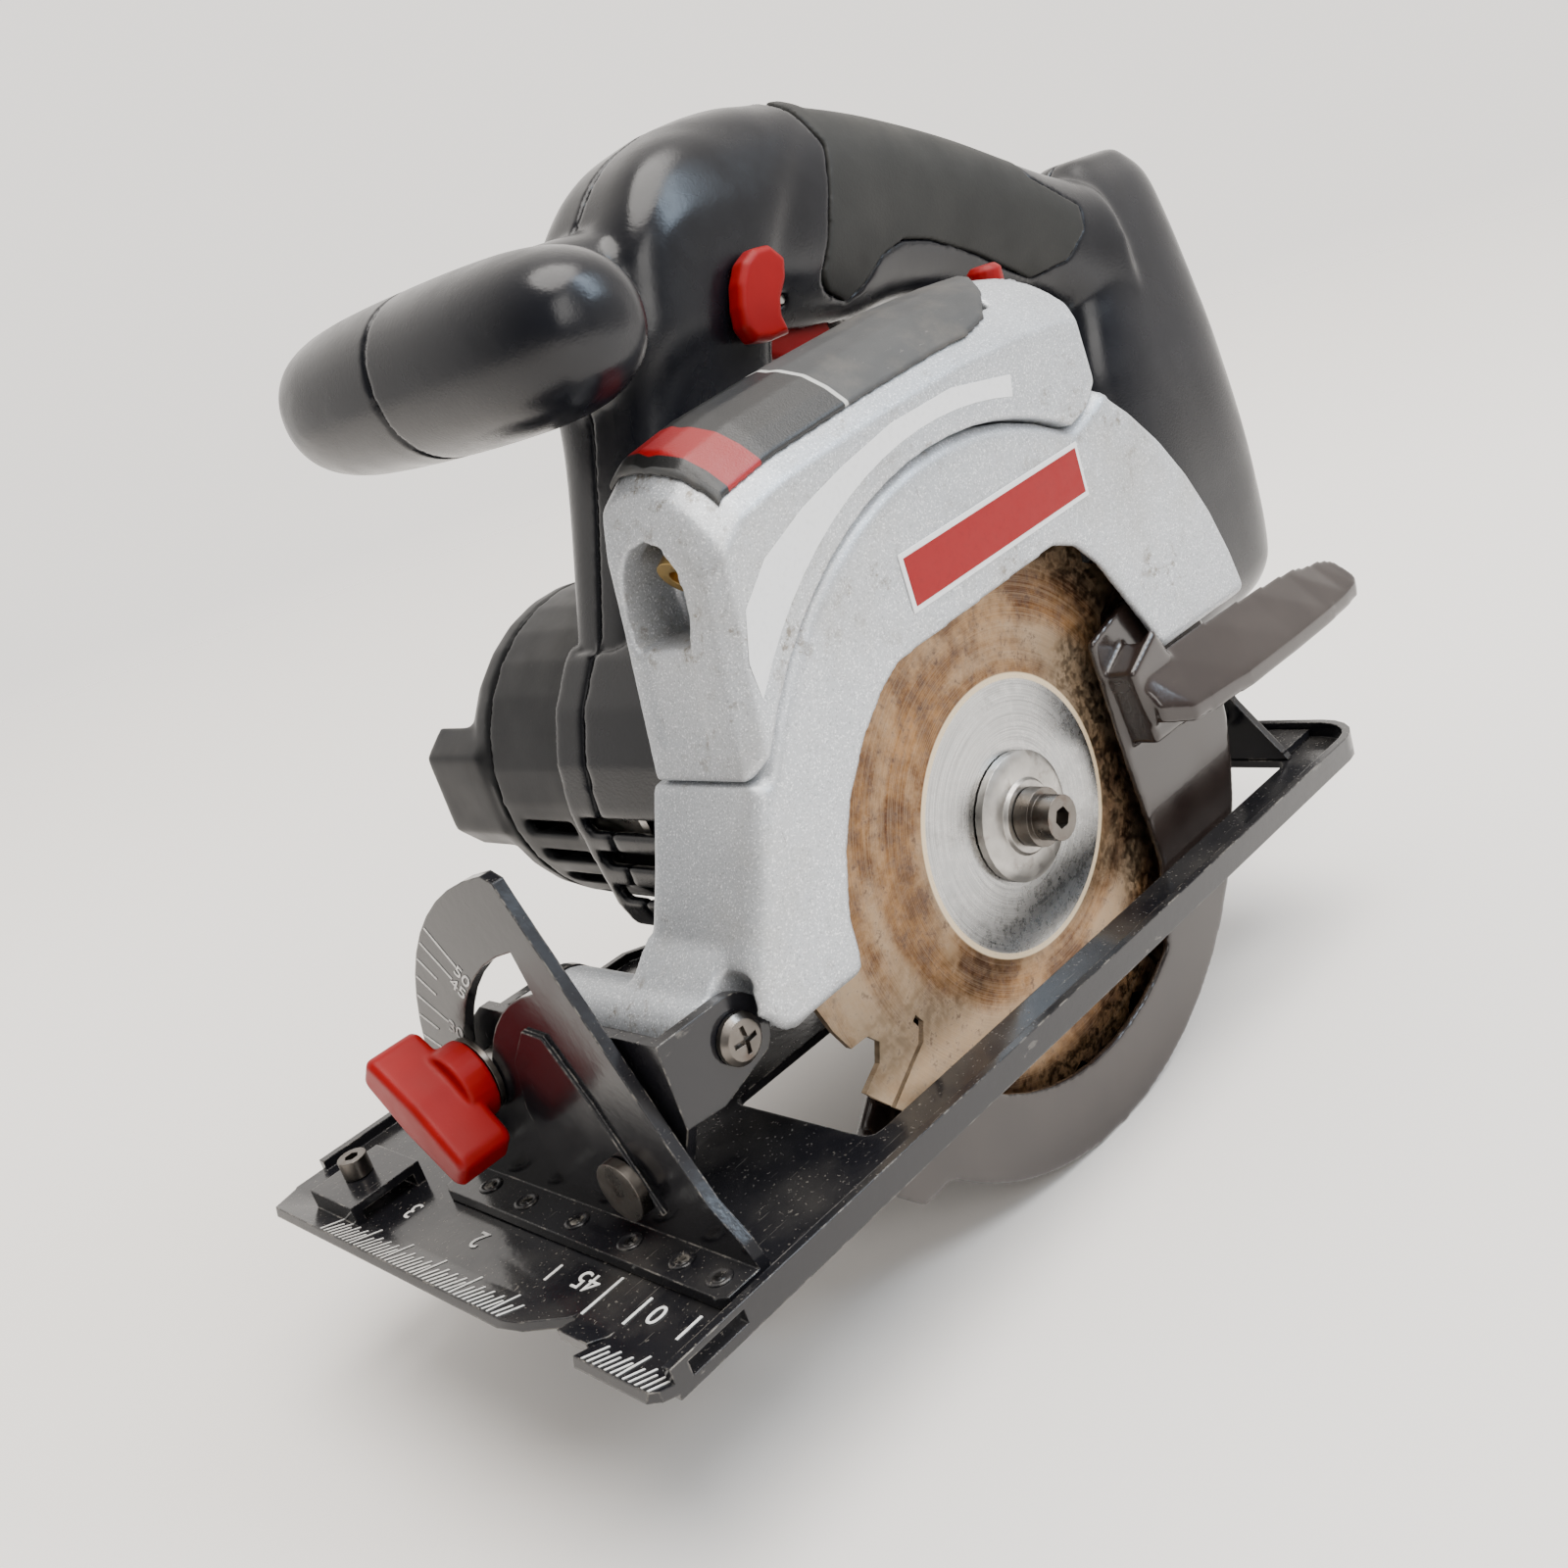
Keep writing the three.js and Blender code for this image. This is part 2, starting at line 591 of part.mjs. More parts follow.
// Silver cover over the guard's rim, with the laser's window at its front.
function laserHousing() {
  const { right, step } = UPPER_GUARD;
  const outline = [
    [73.2, 76.2], [68.8, 104], [67, 117], [62, 134], [50, 146], [-40, 146], [-49, 134],
    [-51.6, 127], [-52.6, 111.5],
    [-40, 100], [40, 76.2],
  ];
  const shoulder = [
    [-30, 110], [-30, 146], [-50, 146], [-60, 140], [-63.6, 131], [-57.5, 108.8],
    [-50, 104],
  ];
  const shell = join(
    prism("XZ", outline, right + 0.5, HOUSING_LEFT, 3.6),
    prism("XZ", shoulder, right + 0.5, -8, 3),
  ).subtract(cylinderY(ARBOR, step, right - 1, HOUSING_LEFT + 1, 72));
  const seat = prism("XZ", [
    [-66, 101.2], [-57.5, 107.6], [-52.1, 111.4], [-46, 108.6], [-38.2, 106.4], [-30, 100],
    [-30, 90], [-66, 90],
  ], right - 1, HOUSING_LEFT + 1);
  const window = prism("YZ", [
    [-14.2, 100], [1, 100], [2.6, 106], [2, 113], [-1, 117.4], [-5.5, 119], [-10.5, 117.6],
    [-13.8, 113], [-15, 106],
  ], 55, 80);
  const panel = prism("YZ", [
    [-12.4, 83], [1.6, 83], [1, 101], [-14, 101],
  ], 68.2, 80);
  const slope = prism("XZ", [
    [80, 82.6], [71.7, 82.6], [68, 104], [80, 104],
  ], -12.8, 1.4);
  const tray = box(-29.4, 46, -15, 5, 117, 150);
  const bore = prism("XZ", [
    [45, 112.6], [60, 104], [68, 110], [52, 126], [45, 126],
  ], -13, 3);
  return shell
    .intersect(underRoof(0))
    .subtract(seat)
    .subtract(window)
    .subtract(panel.intersect(slope))
    .subtract(tray)
    .subtract(bore)
    .subtract(cylinderZ(LASER_BUTTON.x, LASER_BUTTON.y, LASER_BUTTON.radius + GAP, 127, 150));
}

// Dark cover that closes the laser tray and lies along the housing's roof.
function laserCover() {
  const plan = [
    [60.5, -16.6], [61.5, -5], [59.5, 9.2], [-14, 9.4], [-24, 7.6], [-31, 3], [-37, -4],
    [-41, -11], [-42, -16.6],
  ];
  const sheet = underRoof(1.6)
    .subtract(underRoof(GAP))
    .intersect(prism("XY", plan, 110, 150));
  const plug = underRoof(0.6).intersect(box(-29, 45.5, -14.5, 1.6, 129, 150));
  return join(sheet, plug);
}

const LASER_TILT = 35;

function laserModule() {
  const body = box(6, 44, -12, 2, 118, 127.4);
  return join(body, box(-28, 6.5, -11, 1, 118, 121));
}

// Brass barrel that aims the laser line forward and down at the work.
function laserBarrel() {
  const barrel = new THREE.CylinderGeometry(4.6, 4.6, 14, 20);
  const tip = new THREE.CylinderGeometry(2.2, 2.2, 4, 12);
  const lean = new THREE.Matrix4().makeRotationY(radians(90 + LASER_TILT));
  const turn = new THREE.Matrix4().makeRotationX(Math.PI / 2).premultiply(lean);
  const place = new THREE.Matrix4().makeTranslation(55.5, -5, 114.5);
  const move = (geometry, along) =>
    solid(geometry.translate(0, along, 0).applyMatrix4(turn).applyMatrix4(place));
  return move(barrel, 0).subtract(move(tip, 7));
}

function laserButton() {
  const { x, y, radius } = LASER_BUTTON;
  const stem = cylinderZ(x, y, radius, 130, 140, 16);
  const dome = prism("XY", circle(x, y, radius, 16), 138, 141.6, 1.2);
  return join(stem, dome);
}

// ---- Saw head: clamshell ----

const HANDLE = {
  strut: [
    [80, 58, 6, 13], [110, 45, -3, 14.5], [138, 34, -9, 17.5], [152, 31, -14, 20],
    [166, 27, -26, 20], [177, 19, -38, 18], [185, 8, -44, 13], [188.8, -4, -40, 6],
  ],
  grip: [
    [10, 184, 148, 16], [-4, 188.6, 143, 18], [-20, 190, 139.6, 18.6], [-40, 187.2, 137.6, 18],
    [-56, 183.6, 138.6, 17], [-72, 178.6, 137, 16.8], [-90, 172, 131.5, 17],
    [-110, 163, 125, 18], [-126, 156.4, 112, 19.5], [-138, 152.5, 104, 21],
  ],
  socket: [
    [22, -134, -170, 13], [27, -126, -177, 19], [36, -120, -180, 23.5], [62, -113, -180, 25],
    [99, -109, -178, 23], [121, -115, -174.5, 20.5], [138, -123, -172, 17.5],
    [149, -131, -171, 13.5], [157, -143, -166, 7],
  ],
  neck: [
    [8, 172, 142, 16], [28, 173.5, 141.5, 15.5], [62, 172, 141, 14],
  ],
};

const SWELL = [
  [1, 3, 3], [-0.5, 8, 7.5], [-4.5, 12.4, 11.4], [-12, 15.4, 14.2], [-26, 17, 15.6], [-50, 17.4, 16],
];

// Fore handle: a swollen bar across the saw, alike on both sides of the parting plane.
function foreHandle(inset) {
  const mirrored = SWELL.slice(0, -1).map(([y, a, b]) => [2 * PARTING_Y - y, a, b]).reverse();
  const rows = [...SWELL, ...mirrored];
  return loft(
    rows.map(([y, a, b]) =>
      ovalRing(Math.max(a - inset, 0.8), Math.max(b - inset, 0.8), 2.2, inset > 2 ? 10 : 16, (u, w) =>
        new THREE.Vector3(62 + u, y - Math.sign(y - PARTING_Y) * inset, 156.3 + w),
      ),
    ),
  );
}

function bandOutline(inset) {
  return hull([
    ...circle(MOTOR.x, MOTOR.z, MOTOR.bandRadius - inset, 24),
    ...circle(ARBOR.x, ARBOR.z, 26.5 - inset, 16),
    ...circle(55, 41, 8 - inset, 8),
  ]);
}

// Everything the two black half shells enclose, drawn in from the outside by the inset.
function casing(inset) {
  const open = inset > 0;
  const band = prism(
    "XZ", bandOutline(inset), BAND.right - (open ? 1 : 0), BAND.left - inset, open ? 0 : 1.2,
  );
  const shifted = (rows, first, last) =>
    rows.map((row, i) => {
      const push = i === 0 ? first * inset : i === rows.length - 1 ? last * inset : 0;
      return [row[0] + push, ...row.slice(1)];
    });
  return join(
    band,
    uprightLoft(shifted(HANDLE.strut, 0, -1), inset, 4.6),
    lyingLoft(shifted(HANDLE.grip, 0, 0), inset),
    uprightLoft(shifted(HANDLE.socket, 1, -1), inset, 3.6),
    lyingLoft(shifted(HANDLE.neck, 0, 0), inset),
    foreHandle(inset),
  );
}

// The rubber's edge seen from the side; it wraps the grip from the hump to the battery foot.
function rubberOutline(inset) {
  return [
    [-29 - inset, 200], [-35 - inset, 184], [-38.5 - inset, 176], [-29 - inset, 156],
    [-25.5 - inset, 150 + inset], [-27.5, 147 + inset], [-34.5, 143.5 + inset],
    [-40 + inset, 145.5 + inset], [-47, 150 + inset], [-56, 151.8 + inset],
    [-65, 150 + inset], [-81.5, 143.4 + inset], [-102, 133 + inset], [-114 + inset, 134 + inset],
    [-122.5 + inset, 140], [-123.5 + inset, 146], [-109 + inset, 156], [-109 + inset, 200],
  ];
}

function rubberRoom() {
  const outside = box(-130, -15, -80, -20, 120, 200).subtract(
    lyingLoft(HANDLE.grip, RUBBER + GAP),
  );
  return outside.intersect(prism("XZ", rubberOutline(0), -80, -20));
}

function rubberSkin() {
  return lyingLoft(HANDLE.grip, -0.2)
    .subtract(lyingLoft(HANDLE.grip, RUBBER))
    .intersect(prism("XZ", rubberOutline(GAP), -80, -20))
    .subtract(box(-37, -7.4, PARTING_Y - 8.5, PARTING_Y + 8.5, 128, 150));
}

const SHELL_SCREWS = [
  { x: 30, z: 157 },
  { x: -126, z: 128 },
  { x: -121.5, z: 70 },
];

const TRIGGER_PIVOT = { x: -14, z: 149 };
const VENT_COUNT = 3;

function triggerRoom() {
  return box(-37, -7.4, PARTING_Y - 8.5, PARTING_Y + 8.5, 128, 156);
}

// The two half shells as one solid; the caller takes the half on its own side.
function shells() {
  const { front, low, high, halfWidth } = BATTERY_SOCKET;
  const bosses = SHELL_SCREWS.map((at) =>
    cylinderY(at, 4, PARTING_Y - 26, PARTING_Y + 26, 12).intersect(casing(0)),
  );
  const pivotBoss = cylinderY(TRIGGER_PIVOT, 3.8, PARTING_Y - 26, PARTING_Y + 26, 12)
    .intersect(casing(0));
  const pivotBore = cylinderY(TRIGGER_PIVOT, 1.7, PARTING_Y - 15, PARTING_Y + 15, 10);
  const bores = SHELL_SCREWS.map(({ x, z }) =>
    cylinderY({ x, z }, 2, PARTING_Y - 40, PARTING_Y + 11, 12),
  );
  const sinks = SHELL_SCREWS.map(({ x, z }) =>
    cylinderY({ x, z }, 3.6, PARTING_Y - 40, PARTING_Y - 13, 12),
  );
  const frame = box(
    front - 3, front + SHELL_WALL, PARTING_Y - 17.5, PARTING_Y + 17.5, low - 3, high + 3,
  );
  const vents = Array.from({ length: VENT_COUNT }, (_, i) =>
    box(40, 70, -57, -27, 60 - 8.5 * i, 63.6 - 8.5 * i),
  );
  const full = casing(0)
    .subtract(casing(SHELL_WALL))
    .add(frame.intersect(casing(0)))
    .subtract(box(-200, front, PARTING_Y - halfWidth, PARTING_Y + halfWidth, low, high))
    .subtract(box(front - 4, front + 5, PARTING_Y - 13, PARTING_Y + 13, low + 10, high - 10));
  return [...bores, ...sinks, ...vents, pivotBore]
    .reduce((body, cut) => body.subtract(cut), join(full, pivotBoss, ...bosses))
    .subtract(rubberRoom())
    .subtract(triggerRoom())
    .subtract(box(-7.5, 3.5, PARTING_Y + 12, PARTING_Y + 26, 144.2, 157))
    .subtract(cylinderY(MOTOR, MOTOR.housingRadius + GAP, CAP_END - 9, BAND.right, 30))
    .subtract(cylinderY(MOTOR, MOTOR.housingRadius - 1.5, BAND.right - 2, BAND.right + 4, 24))
    .subtract(cylinderY(ARBOR, 14.5, -26, -20, 24));
}

function halfOf(body, side) {
  const edge = PARTING_Y + side * 0.15;
  const room = side > 0 ? box(-220, 140, edge, 60, -10, 220) : box(-220, 140, -160, edge, -10, 220);
  return body.intersect(room);
}

function shellScrew({ x, z }) {
  const shank = cylinderY({ x, z }, 1.7, PARTING_Y - 15.5, PARTING_Y + 10, 10);
  const head = cylinderY({ x, z }, 3.2, PARTING_Y - 17, PARTING_Y - 13.4, 12);
  return join(shank, head).subtract(
    box(x - 0.4, x + 0.4, PARTING_Y - 18, PARTING_Y - 15.8, z - 2.2, z + 2.2),
  );
}

// ---- Saw head: motor ----

function motorHousing() {
  const { x, z, housingRadius } = MOTOR;
  const low = HOUSING_END;
  const high = BAND.right - GAP;
  const tube = ringY(MOTOR, housingRadius, housingRadius - 2.8, low, high, 30);
  const spider = ringY(MOTOR, housingRadius - 1, 26.4, low + 8, low + 11, 24);
  const slots = Array.from({ length: 4 }, (_, i) =>
    box(x + 20, x + 45, low + 5, high - 5, z - 8 - 8 * i, z - 4.4 - 8 * i),
  );
  return slots.reduce((body, cut) => body.subtract(cut), tube.add(spider));
}

function endCap() {
  const { x, z, housingRadius } = MOTOR;
  const top = HOUSING_END - GAP;
  const outer = [
    [0, top], [housingRadius, top], [housingRadius - 0.6, top - 6], [housingRadius - 5, top - 14],
    [housingRadius - 14, top - 20], [housingRadius - 24, CAP_END], [0, CAP_END],
  ];
  const inner = [
    [0, top + 1], [housingRadius - 2.8, top + 1], [housingRadius - 3.4, top - 6],
    [housingRadius - 8, top - 12.5], [housingRadius - 17, top - 17.5], [0, CAP_END + 2.8],
  ];
  const bump = prism("XZ", [
    [50, 55], [58, 51], [63.2, 57], [63.2, 76], [57, 81], [50, 76],
  ], CAP_END - 5, top - 2, 1.5);
  const shell = join(lathe(x, z, outer, 30), bump).subtract(lathe(x, z, inner, 24));
  return shell.add(ringY(MOTOR, 9, 6.3, CAP_END + 1.5, CAP_END + 9, 20));
}

const CAN = { radius: 26, low: -98, high: -53 };

function motorCan() {
  const { radius, low, high } = CAN;
  return cylinderY(MOTOR, radius, low, high, 28)
    .subtract(cylinderY(MOTOR, radius - 2, low + 2, high - 2, 28))
    .subtract(cylinderY(MOTOR, 6, low - 1, high + 1, 16));
}

function magnet(start) {
  const outer = CAN.radius - 2 - GAP;
  return prism("XZ", [
    ...arc(MOTOR.x, MOTOR.z, outer, start, start + 130, 10),
    ...arc(MOTOR.x, MOTOR.z, outer - 5, start + 130, start, 10),
  ], CAN.low + 12, CAN.high - 6);
}

function armature() {
  const shaft = cylinderY(MOTOR, 2.5, -109, -29, 16);
  const stack = cylinderY(MOTOR, 17.5, CAN.low + 14, CAN.high - 7, 24);
  const commutator = cylinderY(MOTOR, 8, CAN.low + 4, CAN.low + 14.5, 20);
  const notches = Array.from({ length: 6 }, (_, i) => {
    const [x, z] = circle(MOTOR.x, MOTOR.z, 17.5, 6)[i];
    return cylinderY({ x, z }, 2, CAN.low + 13, CAN.high - 6, 8);
  });
  return notches.reduce((body, cut) => body.subtract(cut), join(shaft, stack, commutator));
}

function brush(side) {
  const low = CAN.low + 6;
  const z = MOTOR.z;
  const near = MOTOR.x + side * 8.4;
  const far = MOTOR.x + side * 21;
  return box(Math.min(near, far), Math.max(near, far), low, low + 5, z - 2.5, z + 2.5);
}

function fan() {
  const disc = cylinderY(MOTOR, 30, -51.5, -50, 28);
  const hub = cylinderY(MOTOR, 6, -51.5, -45, 16);
  const blades = Array.from({ length: 9 }, (_, i) => {
    const turn = 40 * i;
    const at = (radius, angle) => arc(MOTOR.x, MOTOR.z, radius, turn + angle, turn + angle, 1)[0];
    return prism("XZ", [at(12, 0), at(29, 12), at(29, 16), at(12, 7)], -51, -45);
  });
  return join(disc, hub, ...blades).subtract(cylinderY(MOTOR, 2.8, -60, -40, 16));
}

// Toothed wheel about Y. Its tips stop short of the pitch circle, so meshed teeth never touch.
function gear(at, pitch, count, low, high, bore) {
  const tip = pitch - 0.25;
  const root = pitch - 1.8;
  const step = 360 / count;
  const rim = Array.from({ length: count }, (_, i) => [
    ...arc(at.x, at.z, root, i * step, i * step + step * 0.35, 1),
    ...arc(at.x, at.z, tip, i * step + step * 0.5, i * step + step * 0.8, 1),
  ]).flat();
  return prism("XZ", rim, low, high).subtract(cylinderY(at, bore, low - 1, high + 1, 16));
}

function gearPlate() {
  const plate = prism("XZ", bandOutline(SHELL_WALL + GAP), -41.5, -39);
  return plate
    .subtract(cylinderY(MOTOR, 8.3, -45, -35, 20))
    .subtract(cylinderY(ARBOR, 10.3, -45, -35, 20))
    .subtract(cylinderY(GEARS.idler, 3.3, -45, -35, 16));
}

function idlerShaft() {
  return cylinderY(GEARS.idler, 3, -43, -24.8, 16);
}

function idlerGear() {
  const { idler, idlerWheel, idlerPinion } = GEARS;
  const wheel = gear(idler, idlerWheel, 22, -38, -34.4, 3.3);
  return wheel.add(gear(idler, idlerPinion, 12, -35, -26, 3.3));
}

function bearing(at, outer, inner, low, high) {
  return ringY(at, outer, inner, low, high, 20);
}

// ---- Saw head: blade drive ----

function spindle() {
  const body = cylinderY(ARBOR, 5, -43, -31, 20);
  const journal = cylinderY(ARBOR, 6, -32, -5.3, 20);
  const nose = cylinderY(ARBOR, ARBOR_SCREW_RADIUS, -6, 3.4, 20);
  return join(body, journal, nose).subtract(cylinderY(ARBOR, 3, -12, 5, 16));
}

function bladeWasher(low, high, outer) {
  return cylinderY(ARBOR, outer, low, high, 32).subtract(
    cylinderY(ARBOR, WASHER_BORE, low - 1, high + 1, 20),
  );
}

function outerWasher() {
  const { x, z } = ARBOR;
  return lathe(x, z, [
    [WASHER_BORE, 1], [14.2, 1], [14.2, 2.8], [12.6, 3.6], [8.4, 3.6], [7.8, 4.4], [WASHER_BORE, 4.4],
  ].concat([[WASHER_BORE, 1]]), 32);
}

function arborScrew() {
  const head = cylinderY(ARBOR, 6.4, 4.7, 8.2, 24);
  const cap = cylinderY(ARBOR, 4.9, 8, 12.6, 20);
  const thread = cylinderY(ARBOR, 2.7, -9, 5, 16);
  return join(head, cap, thread).subtract(cylinderY(ARBOR, 2.4, 9.4, 13, 6));
}

// Thin disc with hooked gullets and one curled expansion slot between every fourth pair.
function blade() {
  const { radius, thickness, teeth } = BLADE;
  const half = thickness / 2;
  const pitch = 360 / teeth;
  const polar = (r, angle) => [
    ARBOR.x + r * Math.cos(radians(angle)),
    ARBOR.z + r * Math.sin(radians(angle)),
  ];
  const rim = Array.from({ length: teeth }, (_, i) => {
    const start = i * pitch - 24;
    return [
      polar(radius, start),
      polar(radius - 6.5, start + 0.6),
      polar(radius - 9.6, start + 3.4),
      polar(radius - 8.2, start + 6.6),
      polar(radius - 3.6, start + 8),
      polar(radius - 2.2, start + 13),
      polar(radius - 0.8, start + 19.5),
    ];
  }).flat();
  const slots = Array.from({ length: teeth / 4 }, (_, i) => {
    const angle = i * 4 * pitch - 31;
    return prism("XZ", [
      polar(radius + 2, angle - 0.5), polar(radius + 2, angle + 0.5),
      polar(54.5, angle + 0.6), polar(51.8, angle + 2.6), polar(51.8, angle + 5),
      polar(50.4, angle + 5.2), polar(50.2, angle + 2), polar(53.4, angle - 0.6),
    ], -2, 2);
  });
  return slots.reduce((body, cut) => body.subtract(cut), prism("XZ", rim, -half, half)).subtract(
    cylinderY(ARBOR, WASHER_BORE, -3, 3, 24),
  );
}

// ---- Saw head: lower guard ----

const LEVER_Y = { inner: 12.3, outer: 14.4 };

// Cross-sections of the lever's sloped scoop: [x, inner y, inner z, outer y, outer z].
const LEVER_ROWS = [
  [-36, 12.3, 52, 17, 43],
  [-44, 12.3, 52, 20.6, 40],
  [-66, 12.3, 51.4, 21.6, 38.8],
  [-88, 12.3, 50.4, 21.8, 38.4],
  [-106, 12.3, 49, 21.7, 38.4],
  [-117, 12.6, 47.4, 21.4, 38.8],
  [-123, 13.4, 46.4, 21, 39.4],
  [-125.6, 15, 44.8, 20, 40.4],
];

function lowerGuard() {
  const { radius, wall, left, right, hub } = LOWER_GUARD;
  const { x, z } = ARBOR;
  const front = -34;
  const rear = -208;
  const toe = [[70.5, -12.5], [64, -19.6], [56, -19.8]];
  const leftWall = prism("XZ", [
    ...arc(x, z, 58, -122, -48, 10),
    [46, -6], [61, -7],
    ...toe,
    ...arc(x, z, radius, -46, rear, 22),
    [-31.5, 60], [-34, 30], [-37, 3.7],
  ], left - 2, left);
  const rightWall = prism("XZ", [
    ...arc(x, z, 28, 160, -20, 12),
    [52, 2], [61, -7],
    ...toe,
    ...arc(x, z, radius, -46, rear, 22),
  ], right, right + 2);
  const rim = prism("XZ", [
    [61, -7], ...toe,
    ...arc(x, z, radius, -46, rear, 22),
    ...arc(x, z, radius - wall, rear, front - 2, 24),
  ], right, left);
  const blockSide = [[-50, 33.5], [-50.5, 47], [-45, 58], [-33, 52], [-36, 34]];
  const block = prism("XZ", blockSide, left - 1, LEVER_Y.outer)
    .intersect(cylinderY(ARBOR, 47.3, left - 2, LEVER_Y.outer + 1, 40))
    .add(prism("XZ", blockSide, LEVER_Y.inner, LEVER_Y.outer));
  const lever = loft(LEVER_ROWS.map(([along, inner, high, outer, low]) => [
    new THREE.Vector3(along, inner, high),
    new THREE.Vector3(along, outer, low),
    new THREE.Vector3(along, outer, low - 4),
    new THREE.Vector3(along, outer - 1.8, low - 4),
    new THREE.Vector3(along, outer - 2.2, low - 1.2),
    new THREE.Vector3(along, inner, high - 2.8),
  ]));
  return join(leftWall, rightWall, rim, block, lever).subtract(
    cylinderY(ARBOR, hub, right - 1, right + 3, 28),
  );
}

function guardSpring() {
  return coil({ x: ARBOR.x, y: -12.8, z: ARBOR.z }, 21.4, 0.8, 1.4, 1.8, "Y", 6, 20);
}

function guardBumper() {
  return cylinderY({ x: -58, z: 93 }, 4, -13.6, 8.4, 14);
}

// ---- Saw head: controls ----

function trigger() {
  const outline = [
    [-22, 133.6], [-13, 137.6], [-9, 142], [-8.6, 150], [-11, 153.4], [-16, 153.6], [-20, 150],
    [-24, 147.4], [-29, 146.6], [-33.4, 143], [-34.2, 138], [-30, 133.2],
  ];
  return prism("XZ", outline, PARTING_Y - 7.6, PARTING_Y + 7.6, 1).subtract(
    cylinderY(TRIGGER_PIVOT, 1.7, -70, -30, 10),
  );
}

function triggerPin() {
  return cylinderY(TRIGGER_PIVOT, 1.4, PARTING_Y - 14.6, PARTING_Y + 14.6, 10);
}

function lockOff() {
  const paddle = prism("XZ", [
    [-8.4, 156.4], [-6.9, 152.4], [-3.9, 149], [-2.8, 146], [-3.6, 142], [2, 141.8], [7, 142.8],
    [8.6, 146.1], [8, 150], [6.3, 154.4], [3.4, 158.1], [-0.5, 160], [-5, 159.8],
  ], PARTING_Y + 20.4, PARTING_Y + 25.4, 1);
  return join(paddle, box(-6, 2, PARTING_Y + 12.6, PARTING_Y + 22, 148, 156));
}

function switchBody() {
  return box(-44, -21, PARTING_Y - 8, PARTING_Y + 8, 156.5, 172);
}

function terminalBlock() {
  const { front } = BATTERY_SOCKET;
  const block = box(front + 3.2, front + 9, PARTING_Y - 12, PARTING_Y + 12, 58, 104);
  const prong = (y) => box(front - 16, front + 4, y - 0.6, y + 0.6, 72, 90);
  return join(block, prong(PARTING_Y - 7), prong(PARTING_Y + 7));
}

function spindleLock() {
  return cylinderY({ x: -15, z: 22 }, 3.6, -66, -45.2, 14);
}

function depthScrew() {
  const at = DEPTH_BOLT_AT;
  const head = cylinderY(at, 5.5, -27.9, -24.6, 6);
  return join(head, cylinderY(at, 3, -44, -27, 16));
}

// Lever that nips the guard's rear arm against the slotted arc plate.
function depthLever() {
  const { x, z } = DEPTH_BOLT_AT;
  const hub = cylinderY(DEPTH_BOLT_AT, 7.5, -41, -32, 20);
  const arm = prism("XZ", [
    [x - 6, z - 4], [x + 6, z - 4], [x + 8, z + 14], [x + 7, z + 40], [x - 1, z + 44],
    [x - 5, z + 38], [x - 4, z + 14],
  ], -41, -35.5, 1);
  return join(hub, arm).subtract(cylinderY(DEPTH_BOLT_AT, 3.3, -42, -31, 16));
}

// ---- Nodes ----

add("shoe_plate", shoePlate(), "blackPaint");
add("fence_screw", fenceScrew(), "darkSteel");
add("bevel_quadrant", bevelQuadrant(), "blackPaint");
add("front_tilt_pin", frontTiltPin(), "darkSteel");
add("rear_ear", rearEar(), "blackPaint");
add("rear_tilt_pin", rearTiltPin(), "darkSteel");

add("tilt_bracket", tiltBracket(), "blackPaint");
add("depth_pivot_screw", depthPivotScrew(), "darkSteel");
add("bevel_bolt", bevelBolt(), "steel");
add("bevel_washer", bevelWasher(), "darkSteel");
add("bevel_knob", bevelKnob(), "red");
add("depth_bracket", depthBracket(), "blackPaint");
add("rear_spring", rearSpring(), "steel");

add("upper_guard", upperGuard(), "silver");
add("laser_housing", laserHousing(), "silver");
add("laser_cover", laserCover(), "greyPlastic");
add("laser_module", laserModule(), "blackPlastic");
add("laser_barrel", laserBarrel(), "brass");
add("laser_button", laserButton(), "red");

const casingHalves = shells();
const skin = rubberSkin();
add("left_shell", halfOf(casingHalves, 1), "blackPlastic");
add("right_shell", halfOf(casingHalves, -1), "blackPlastic");
add("grip_left", halfOf(skin, 1), "rubber");
add("grip_right", halfOf(skin, -1), "rubber");
SHELL_SCREWS.forEach((at, i) => add(`shell_screw_${i + 1}`, shellScrew(at), "darkSteel"));

add("motor_housing", motorHousing(), "greyPlastic");
add("end_cap", endCap(), "greyPlastic");
add("motor_can", motorCan(), "steel");
add("magnet_front", magnet(-65), "darkSteel");
add("magnet_rear", magnet(115), "darkSteel");
add("armature", armature(), "copper");
add("brush_front", brush(1), "darkSteel");
add("brush_rear", brush(-1), "darkSteel");
add("fan", fan(), "greyPlastic");
add("motor_pinion", gear(MOTOR, GEARS.pinion, 10, -38, -31, 2.8), "steel");
add("gear_plate", gearPlate(), "steel");
add("motor_bearing", bearing(MOTOR, 8, 2.8, -41.5, -38.5), "steel");
add("idler_shaft", idlerShaft(), "steel");
add("idler_gear", idlerGear(), "steel");
add("output_gear", gear(ARBOR, GEARS.output, 28, -34, -27, 6.3), "steel");
add("spindle", spindle(), "steel");
add("spindle_bearing_left", bearing(ARBOR, 13, 6.3, -19.5, -8.5), "steel");
add("spindle_bearing_right", bearing(ARBOR, 10, 5.3, -42, -38.5), "steel");

add("inner_washer", bladeWasher(-5, -1, 15), "steel");
add("blade", blade(), "rustySteel");
add("outer_washer", outerWasher(), "steel");
add("arbor_screw", arborScrew(), "darkSteel");
add("lower_guard", lowerGuard(), "smoke");
add("guard_spring", guardSpring(), "steel");
add("guard_bumper", guardBumper(), "rubber");

